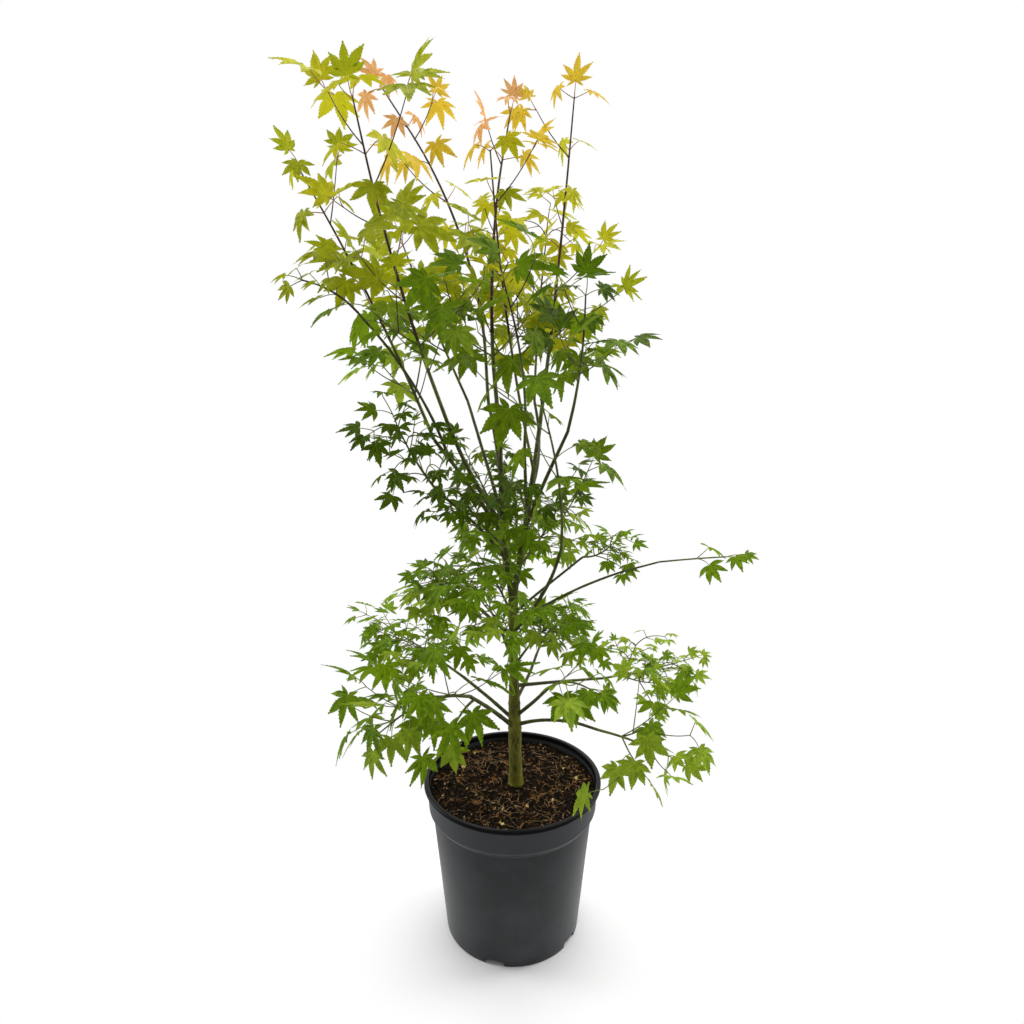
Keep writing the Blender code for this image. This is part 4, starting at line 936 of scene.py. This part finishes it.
LOBES = (  # angle from the midrib and length, beside the middle lobe
    (-117, 0.40), (-76, 0.68), (-38, 0.90), (0, 1.0), (38, 0.90), (76, 0.68), (117, 0.40))
BASE_SINUS = 0.08  # how far the blade's edge runs out beside its stalk
TOOTH = 0.026
KINDS = {  # how far out the notches end, beside the shorter lobe; half width of a lobe; stations; lobes
    "broad": (0.40, 0.132, 7, 7),
    "deep": (0.30, 0.106, 7, 7),
    "small": (0.38, 0.124, 5, 5),
}
LOBE_TURN = 5  # degrees that a lobe strays
LOBE_RANGE = (0.88, 1.08)
NOTCH_RANGE = (0.9, 1.12)
LOBE_BEND = 0.09
TOOTH_AT = (0.7, 0.9)  # share of the edge between two stations at which its tooth stands
TOOTH_RANGE = (0.7, 1.3)
GUTTER = (0.28, 0.55)  # how steeply a lobe rises on both sides of its midrib
CURL = (0.7, 1.5)
CURL_HEIGHT = 0.05  # in midribs
BLADES_PER_KIND = 12


def lobe_half_width(share):
    """Swells just past the notch, then narrows to a drawn-out tip."""
    return (1 + 3.2 * share) * (1 - share) ** 1.35


def blade_shape(rng, kind):
    """One flat leaf of a middle lobe 1 long: its points, faces, and each point's place on its lobe."""
    depth, width, stations, count = KINDS[kind]
    lobes = LOBES if count == 7 else LOBES[1:-1]
    lobes = [(math.radians(angle + rng.uniform(-LOBE_TURN, LOBE_TURN)), length * rng.uniform(*LOBE_RANGE))
             for angle, length in lobes]
    notches = [(angle_of_base(lobes[0][0], -1), BASE_SINUS)]
    for (angle, length), (other, reach) in zip(lobes, lobes[1:]):
        notches.append(((angle + other) / 2, depth * min(length, reach) * rng.uniform(*NOTCH_RANGE)))
    notches.append((angle_of_base(lobes[-1][0], 1), BASE_SINUS))
    points, faces, coordinates = [], [], []
    for (angle, length), right, left in zip(lobes, notches, notches[1:]):
        start = len(points)
        axis = Vector((math.cos(angle), math.sin(angle)))
        across = Vector((-axis.y, axis.x))
        ends = [Vector((math.cos(a), math.sin(a))) * reach for a, reach in (right, left)]
        near = max(0.15 * length, min(0.56 * length, max(end.dot(axis) for end in ends)))
        bend = rng.uniform(-LOBE_BEND, LOBE_BEND)
        swell = max(width * length, 0.85 * max(abs(end.dot(across)) for end in ends))
        middle = [Vector((0.0, 0.0))]
        sides = {-1: [ends[0]], 1: [ends[1]]}
        for i in range(stations):
            share = i / stations
            t, drift = near + (length - near) * share, bend * length * share * share
            middle.append(axis * t + across * drift)
            for side, line in sides.items():
                if i:
                    reach = side * swell * lobe_half_width(share)
                    line.append(axis * (t - 0.02 * length) + across * (drift + reach))
        points += [*middle, axis * length + across * bend * length]
        tip = start + len(middle)
        for side, line in sides.items():
            edge = [*range(len(points), len(points) + len(line)), tip]
            spine = [*range(start + 1, start + 1 + stations), tip]
            points += line
            grown = [(start, edge[0], spine[0])]
            for k in range(stations):
                ring = [spine[k], edge[k], edge[k + 1], spine[k + 1]]
                grown.append(ring if k < stations - 1 else ring[:3])
                first, second = points[edge[k]], points[edge[k + 1]]
                run = second - first
                out = Vector((run.y, -run.x)).normalized()
                out = out if out.dot(across) * side > 0 else -out
                tooth = first + run * rng.uniform(*TOOTH_AT)
                grown.append((edge[k], len(points), edge[k + 1]))
                points.append(tooth + out * TOOTH * length * rng.uniform(*TOOTH_RANGE))
            faces += [tuple(face) if side < 0 else tuple(reversed(face)) for face in grown]
        coordinates += [(point.dot(axis), abs(point.dot(across))) for point in points[start:]]
    return points, faces, coordinates


def angle_of_base(angle, side):
    """Where the blade's edge meets its stalk, beside the outermost lobe."""
    return side * min(math.radians(172), abs(angle) + math.radians(42))


class Blade:
    """A leaf shape ready to be placed many times over."""

    def __init__(self, seed, kind):
        rng = random.Random(f"blade:{seed}:{kind}")
        points, self.faces, lobe = blade_shape(rng, kind)
        self.flat = np.array([tuple(p) for p in points])
        self.lobe = np.array(lobe)
        self.order = np.concatenate([np.array(face) for face in self.faces])
        reach = np.hypot(self.flat[:, 0], self.flat[:, 1])
        turn = np.arctan2(self.flat[:, 1], self.flat[:, 0])
        curl = rng.uniform(*CURL) * np.cos(turn * 1.5 + rng.uniform(0, math.tau)) * CURL_HEIGHT
        self.rise = self.lobe[:, 1] * rng.uniform(*GUTTER) + curl * reach ** 2
        self.reach = reach

    def put(self, site, sag):
        """Points and skin coordinates in mm of this shape at a leaf site."""
        _, base, along, normal, size = site
        across = normal.cross(along).normalized()
        up = along.cross(across).normalized()
        frame_of = np.array([tuple(along), tuple(across), tuple(up)])
        rise = self.rise - sag * self.reach ** 2
        local = np.column_stack([self.flat, rise]) * size
        return local @ frame_of + np.array(tuple(base)), (self.lobe * size / MM)[self.order]


# Growth, by the rule of the solids

def draws(mass, *marks):
    """The seeded draws of one part of a mass, which are the same here as in the solids."""
    return random.Random(":".join(str(mark) for mark in (GROWTH_SEED, f"foliage_{mass.name}", *marks)))


def sideways(forward, turn):
    """A direction square to forward at an angle round it, flattened where forward is level."""
    level = Vector((0, 0, 1)).cross(forward)
    level = level.normalized() if level.length > 0.05 else Vector((1, 0, 0))
    other = forward.cross(level).normalized()
    side = level * math.cos(turn) + other * math.sin(turn)
    side.z *= 1.0 - FLATTEN * (1.0 - abs(forward.z))
    return side.normalized()


def leant(rng, forward, side, lean):
    """A direction that leans from forward to a side by an angle drawn from a range."""
    angle = math.radians(rng.uniform(*lean))
    return (forward * math.cos(angle) + side * math.sin(angle)).normalized()


def leaf_site(rng, foot, forward, side, size, droop):
    """Stalk foot, leaf base, midrib, upper side and size of one leaf; side is None at a tip."""
    if side is None:
        stalk, lift, droop = forward, 1.0, TIP_DROOP * droop
    else:
        stalk, lift = leant(rng, forward, side, LEAF_LEAN), SIDE_LIFT
    size *= rng.uniform(*SIZE_RANGE)
    base = foot + stalk * (size * STALK_SHARE * rng.uniform(*STALK_RANGE))
    outward = Vector((stalk.x, stalk.y, lift * stalk.z)).normalized()
    down = math.radians(droop + rng.uniform(-DROOP_SPREAD, DROOP_SPREAD))
    along = (outward * math.cos(down) - Vector((0, 0, 1)) * math.sin(down)).normalized()
    turned = min(1.0, max(0.0, (base.z - TURNED_FROM) / (TURNED_FULLY - TURNED_FROM)))
    upward = Vector((0, -FRONT_TURN * turned, 1)) + outward * OUTWARD_FACE
    normal = (upward - along * upward.dot(along)).normalized()
    roll = math.radians(rng.uniform(-ROLL_SPREAD, ROLL_SPREAD))
    normal = (normal * math.cos(roll) + normal.cross(along) * math.sin(roll)).normalized()
    return foot, base, along, normal, size


def leaf_pair(rng, spot, ahead, turn, size, droop):
    """Two leaves across from each other."""
    return [leaf_site(rng, spot, ahead, sideways(ahead, turn + math.pi * half), size, droop)
            for half in (0, 1)]


def side_shoot(rng, here, forward, side, unit, span, shape, steps):
    """The route of a twig to one side: as long as some units drawn from span, with its rise and sag."""
    heading = leant(rng, forward, side, TWIG_LEAN)
    length = unit * rng.uniform(*span)
    rise, sag = shape
    tip = here + heading * length + Vector((0, 0, rise * length))
    return route(here, here.lerp(tip, 0.5) - Vector((0, 0, sag * length)), tip, evenly(steps))


def grow(mass, stem):
    """Shoots of a mass as (twig points or None, leaf sites): the stem's own leaves, then twigs."""
    shoots = [(None, [])]
    turn = FIRST_TURN
    for node in range(mass.nodes):
        share = mass.bare + (LAST_PAIR - mass.bare) * (node + 1) / mass.nodes
        here, forward = along_route(stem, share)
        size = mass.leaf * MM * (LEAF_AT_FOOT + (LEAF_AT_TIP - LEAF_AT_FOOT) * share)
        for half in (0, 1):
            rng = draws(mass, node, half)
            drift = rng.uniform(-TURN_DRIFT, TURN_DRIFT)
            side = sideways(forward, turn + math.pi * half + drift)
            if node < mass.twigs:
                shoots.append(grow_twig(rng, mass, here, forward, side, size))
            else:
                shoots[0][1].append(leaf_site(rng, here, forward, side, size, mass.droop))
        turn += math.pi / 2 + draws(mass, node).uniform(-PAIR_DRIFT, PAIR_DRIFT)
    tip, forward = along_route(stem, TIP_LEAF)
    last = leaf_site(draws(mass, "tip"), tip, forward, None, mass.leaf * MM * LEAF_AT_TIP, mass.droop)
    shoots[0][1].append(last)
    return shoots


def grow_twig(rng, mass, here, forward, side, size):
    """One side twig with a pair of leaves half way and a pair at its end."""
    points = side_shoot(rng, here, forward, side, mass.twig * MM, TWIG_RANGE, TWIG_SHAPE, 2)
    turn = rng.uniform(0, math.pi)
    sites = []
    for share in TWIG_PAIRS:
        spot, ahead = along_route(points, share)
        sites += leaf_pair(rng, spot, ahead, turn, size * LEAF_ON_TWIG, mass.droop)
        turn += math.pi / 2
    return points, sites


def carried_on(rng, site, habit):
    """The spray that takes the place of a large leaf: a fine twig past its foot with small leaves."""
    foot, base, along, normal, size = site
    bend, lift = SPRAY_BEND
    via = foot.lerp(base, bend) + normal * (lift * size)
    points = route(foot, via, base + along * (SPRAY_REACH * size), evenly(4))
    turn, sites = rng.uniform(0, math.pi), []
    first, last = SPRAY_PAIRS
    for k in range(habit.pairs + 1):
        share = TIP_LEAF if k == habit.pairs else first + (last - first) * k / habit.pairs
        spot, ahead = along_route(points, share)
        sites += leaf_pair(rng, spot, ahead, turn, habit.leaf, habit.droop)
        turn += math.pi / 2
    sites.append(leaf_site(rng, points[-1], ahead, None, habit.leaf * END_LEAF, habit.droop))
    return points, sites


def grow_fine(mass, habit, stem, twigs):
    """Finer twigs up a stem and on its side twigs: each a pair of leaves and a tip leaf."""
    shoots = []
    lines = [(stem, mass.bare, round(mass.nodes * habit.fine))]
    lines += [(twig, FINE_FROM, FINE_PER_TWIG) for twig in twigs]
    for number, (line, first, count) in enumerate(lines):
        for k in range(count):
            rng = draws(mass, "fine", number, k)
            here, forward = along_route(line, first + (FINE_TO - first) * (k + 0.5) / count)
            side = sideways(forward, FIRST_TURN + FINE_TURN * k + rng.uniform(-FINE_DRIFT, FINE_DRIFT))
            points = side_shoot(rng, here, forward, side, habit.leaf, FINE_TWIG, FINE_SHAPE, 4)
            size = habit.leaf * rng.uniform(*FINE_LEAF)
            end, ahead = points[-1], (points[-1] - points[-2]).normalized()
            sites = leaf_pair(rng, end, ahead, rng.uniform(0, math.pi), size, habit.droop)
            sites.append(leaf_site(rng, end, ahead, None, size * END_LEAF, habit.droop))
            shoots.append((points, sites))
    return shoots


def real_shoots(mass, habit, stem):
    """Every shoot of a mass with its real leaves, as (twig points or None, twig radii, leaf sites)."""
    grown = grow(mass, stem)
    shoots = []
    for number, (twig, sites) in enumerate(grown):
        own = []
        for k, site in enumerate(sites):
            if habit.pairs:
                points, small = carried_on(draws(mass, "spray", number, k), site, habit)
                shoots.append((points, FINE_RADII, small))
            else:
                own.append((*site[:4], site[4] * habit.leaf / (mass.leaf * MM)))
        shoots.insert(0, (twig, TWIG_RADII, own))
    fine = grow_fine(mass, habit, stem, [twig for twig, _ in grown if twig])
    return shoots + [(points, FINE_RADII, sites) for points, sites in fine]


def in_space(mass, stem, site):
    """Whether a leaf stays in its mass's own space, a sleeve round the stem, and off the pot."""
    _, base, along, _, size = site
    tip = base + along * size
    reach = (SLEEVE * mass.leaf + (TWIG_SLEEVE * mass.twig if mass.twigs else 0.0)) * MM
    near = min((tip - along_route(stem, i / 12)[0]).length for i in range(13))
    return near < reach and tip.z > FOLIAGE_FLOOR


def in_box(low, high):
    """Whether a leaf with these corners stays within the plant's own reach."""
    return (low > BOX_LOW - BOX_EASE).all() and (high < BOX_HIGH + BOX_EASE).all()


class Room:
    """Search trees of what already stands, so that no leaf runs through another."""

    def __init__(self):
        self.low, self.high = np.zeros((8000, 3)), np.zeros((8000, 3))
        self.trees = []

    def shape(self, points, faces):
        corners = np.array([tuple(point) for point in points])
        return corners.min(0), corners.max(0), BVHTree.FromPolygons(points, faces)

    def take(self, low, high, tree):
        self.low[len(self.trees)], self.high[len(self.trees)] = low, high
        self.trees.append(tree)

    def clear(self, low, high, tree):
        count = len(self.trees)
        near = ((self.low[:count] <= high) & (self.high[:count] >= low)).all(axis=1)
        return not any(tree.overlap(self.trees[i]) for i in np.flatnonzero(near))


def coarse_leaf(site):
    """Corners and faces of a fan over a leaf's lobes, for the room that it takes."""
    _, base, along, normal, size = site
    across = normal.cross(along)
    rim = []
    for angle, length in LOBES:
        turn, reach = math.radians(angle), 0.95 * length * size
        rim.append(base + along * (reach * math.cos(turn)) + across * (reach * math.sin(turn)))
    return [base, *rim], [(0, i, i + 1) for i in range(1, len(rim))]


def stalk_line(site, rng):
    """The leaf stalk's curve from the twig to the blade, arched under its own weight."""
    foot, base = site[:2]
    span = (base - foot).length
    bow = Vector((rng.uniform(-1, 1), rng.uniform(-1, 1), rng.uniform(-0.2, 1.2))) * STALK_BOW * span
    return route(foot, foot.lerp(base, 0.5) + bow, base, evenly(5))


def by_height(line, thick):
    """A stem's lower olive stretch and its upper purple one, as (wood, points, radii)."""
    change = sum(point.z <= PURPLE_ABOVE for point in line)
    stretches = (("olive", line[:change + 1], thick[:change + 1]), ("purple", line[change:], thick[change:]))
    return [stretch for stretch in stretches if len(stretch[1]) > 1]


def tint_at(mass, height, rng):
    """The tint of a spray by its place on the plant, with some that take the next one."""
    table = TINTS.get(mass.name) or ((LOW_HEIGHT, MIDDLE_TINT), (0.0, LOW_TINT))
    tint = next(name for level, name in table if height >= level)
    return NEXT_TINT[tint] if rng.random() < STRAY_SHARE else tint


def make_stems(routes, radii, room, shoots):
    """The stem of every mass in its bark; its route in the solids' few steps, by the mass's name."""
    stems = {}
    for number, mass in enumerate(MASSES):
        foot = limb_foot(routes, mass.parent, mass.height)
        stems[mass.name] = row_route(foot, mass, STEM_STEPS)
        first = radii[mass.parent][-1] if mass.height is None else STEM_RADII[0]
        line = smooth_route(stems[mass.name], FINE_STEM_STEPS)
        for wood, points, thick in by_height(line, tapered(first, STEM_RADII[1], FINE_STEM_STEPS)):
            shoots[wood].add(*tube(points, thick, 10, bark_relief(number, STEM_RELIEF, [])))
        room.take(*room.shape(*tube(line[::4], [CLEARANCE] * 8, 3)[:2]))
    return stems


def those_with_room(room, mass, stem, sites):
    """The leaves of a shoot that stay in their space and clear of all that stands already."""
    kept = []
    for site in sites:
        shape = room.shape(*coarse_leaf(site))
        if in_space(mass, stem, site) and in_box(*shape[:2]) and room.clear(*shape):
            room.take(*shape)
            kept.append(site)
    return kept


def make_foliage(routes, radii):
    """Every mass grown on from its limb: stem, side twigs, finer twigs, stalks and leaves."""
    room = Room()
    for name in routes:
        room.take(*room.shape(*tube(routes[name], [radius + CLEARANCE for radius in radii[name]], 6)[:2]))
    blades = {kind: [Blade(seed, kind) for seed in range(BLADES_PER_KIND)] for kind in KINDS}
    leaves = {tint: Gather() for tint in LEAF_TINTS}
    stalks = {"green": Gather(), "red": Gather()}
    shoots = {"olive": Gather(), "purple": Gather()}
    stems = make_stems(routes, radii, room, shoots)
    for mass in MASSES:
        stem, habit = stems[mass.name], HABIT_OF[mass.name]
        for number, (twig, ends, sites) in enumerate(real_shoots(mass, habit, stem)):
            rng = draws(mass, "dress", number)
            tint = tint_at(mass, sites[0][1].z, rng) if sites else None
            kept = those_with_room(room, mass, stem, sites)
            if twig and (kept or ends == TWIG_RADII):
                wood = "purple" if twig[0].z > PURPLE_ABOVE else "olive"
                shoots[wood].add(*tube(smooth_route(twig, 10), tapered(*ends, 10), 7))
            for site in kept:
                if not twig:
                    tint = tint_at(mass, site[1].z, rng)
                blade = rng.choice(blades[habit.kind])
                points, corners = blade.put(site, rng.uniform(*LEAF_SAG))
                leaves[tint].add(points, blade.faces, corners)
                colour = "red" if site[1].z > RED_STALKS_ABOVE else "green"
                stalks[colour].add(*tube(stalk_line(site, rng), tapered(*STALK_RADII, 5), 5)[:2])
    names = [f"foliage_{mass.name}" for mass in MASSES]
    for tint, gathered in leaves.items():
        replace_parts(gathered.piece(f"leaves_{tint}", leaf_finish(tint), "leaves", "lobe"), *names)
    stalks["green"].piece("leaf_stalks", stalk_finish("waxy_green_stalk", "#6E7A2E", "#969C48"), "leaves")
    stalks["red"].piece("top_leaf_stalks", stalk_finish("waxy_red_stalk", "#94572F", "#B48A48"), "leaves")
    olive = bark_finish("green_shoot_bark", "#3A4616", "#667228", "#84884C", 0.5)
    purple = bark_finish("purple_shoot_bark", "#33201F", "#4E352B", "#62503A", 0.5)
    for key, finish in (("olive", olive), ("purple", purple)):
        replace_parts(shoots[key].piece(f"{key}_shoots", finish, "bough_bark", "bark"), *names)


# Floor, camera and light

def floor_finish():
    """Matt white board that runs out into evenly lit white, so that no edge shows."""
    made, tree, shader = new_finish("white_board", Base_Color=linear("#F4F4F4"), Roughness=0.9)
    where = add_node(tree, "TexCoord").outputs["Object"]
    out = add_node(tree, "VectorMath", {"operation": "LENGTH"}, {0: where}).outputs["Value"]
    fade = {"interpolation_type": "SMOOTHSTEP", "From Min": EDGE_FADE[0], "From Max": EDGE_FADE[1]}
    share = add_node(tree, "MapRange", fade, {"Value": out})
    seen = add_node(tree, "LightPath").outputs["Is Camera Ray"]
    power = add_node(tree, "MapRange", {"To Min": SURROUND_LIGHT, "To Max": 1.0}, {"Value": seen})
    lit = add_node(tree, "Emission", {"Color": linear("#FFFFFF")}, {"Strength": power})
    both = add_node(tree, "MixShader", None, {0: share, 1: shader, 2: lit})
    tree.links.new(both.outputs[0], tree.nodes["Material Output"].inputs["Surface"])
    return made


def make_stage():
    """A pale seamless floor, with no wall so that the plant can be seen from behind as well."""
    mesh = bpy.data.meshes.new("floor")
    work = bmesh.new()
    bmesh.ops.create_circle(work, cap_ends=True, segments=96, radius=FLOOR_RADIUS)
    work.to_mesh(mesh)
    work.free()
    mesh.materials.append(floor_finish())
    floor = new_object("floor", mesh)
    floor.location.z = -FLOOR_DROP


def make_camera():
    """The camera that looks at the front of the plant."""
    lens = bpy.data.cameras.new("camera")
    lens.lens = LENS
    lens.sensor_width = SENSOR
    camera = new_object("camera", lens)
    camera.location = CAMERA_PLACE
    camera.rotation_euler = (math.radians(90 - CAMERA_PITCH), 0.0, 0.0)
    bpy.context.scene.camera = camera


def make_light():
    """Soft boxes above, beside and behind the plant, and an even pale surround."""
    for name, place, size, power in LIGHTS:
        lamp = bpy.data.lights.new(name, "AREA")
        lamp.shape = "RECTANGLE"
        lamp.size, lamp.size_y = size
        lamp.energy = power
        holder = new_object(name, lamp)
        holder.location = place
        aim = Vector((0, 0, LIGHT_AIM)) - Vector(place)
        holder.rotation_euler = aim.to_track_quat("-Z", "Y").to_euler()
    world = bpy.data.worlds.new("surround")
    world.use_nodes = True
    tree = world.node_tree
    tree.nodes.clear()
    lit = add_node(tree, "Background", {"Color": linear("#FFFFFF"), "Strength": SURROUND_LIGHT})
    seen = add_node(tree, "Background", {"Color": linear("#FFFFFF"), "Strength": 1.0})
    path = add_node(tree, "LightPath")
    both = add_node(tree, "MixShader", None, {0: path.outputs["Is Camera Ray"], 1: lit, 2: seen})
    add_node(tree, "OutputWorld", None, {"Surface": both})
    bpy.context.scene.world = world


def main():
    """The dressed plant, its floor, camera and lights."""
    make_camera()
    make_pot()
    make_soil()
    routes, radii = limb_routes()
    make_wood(routes)
    make_foliage(routes, radii)
    make_stage()
    make_light()
    bpy.context.scene.view_settings.view_transform = "Standard"


main()
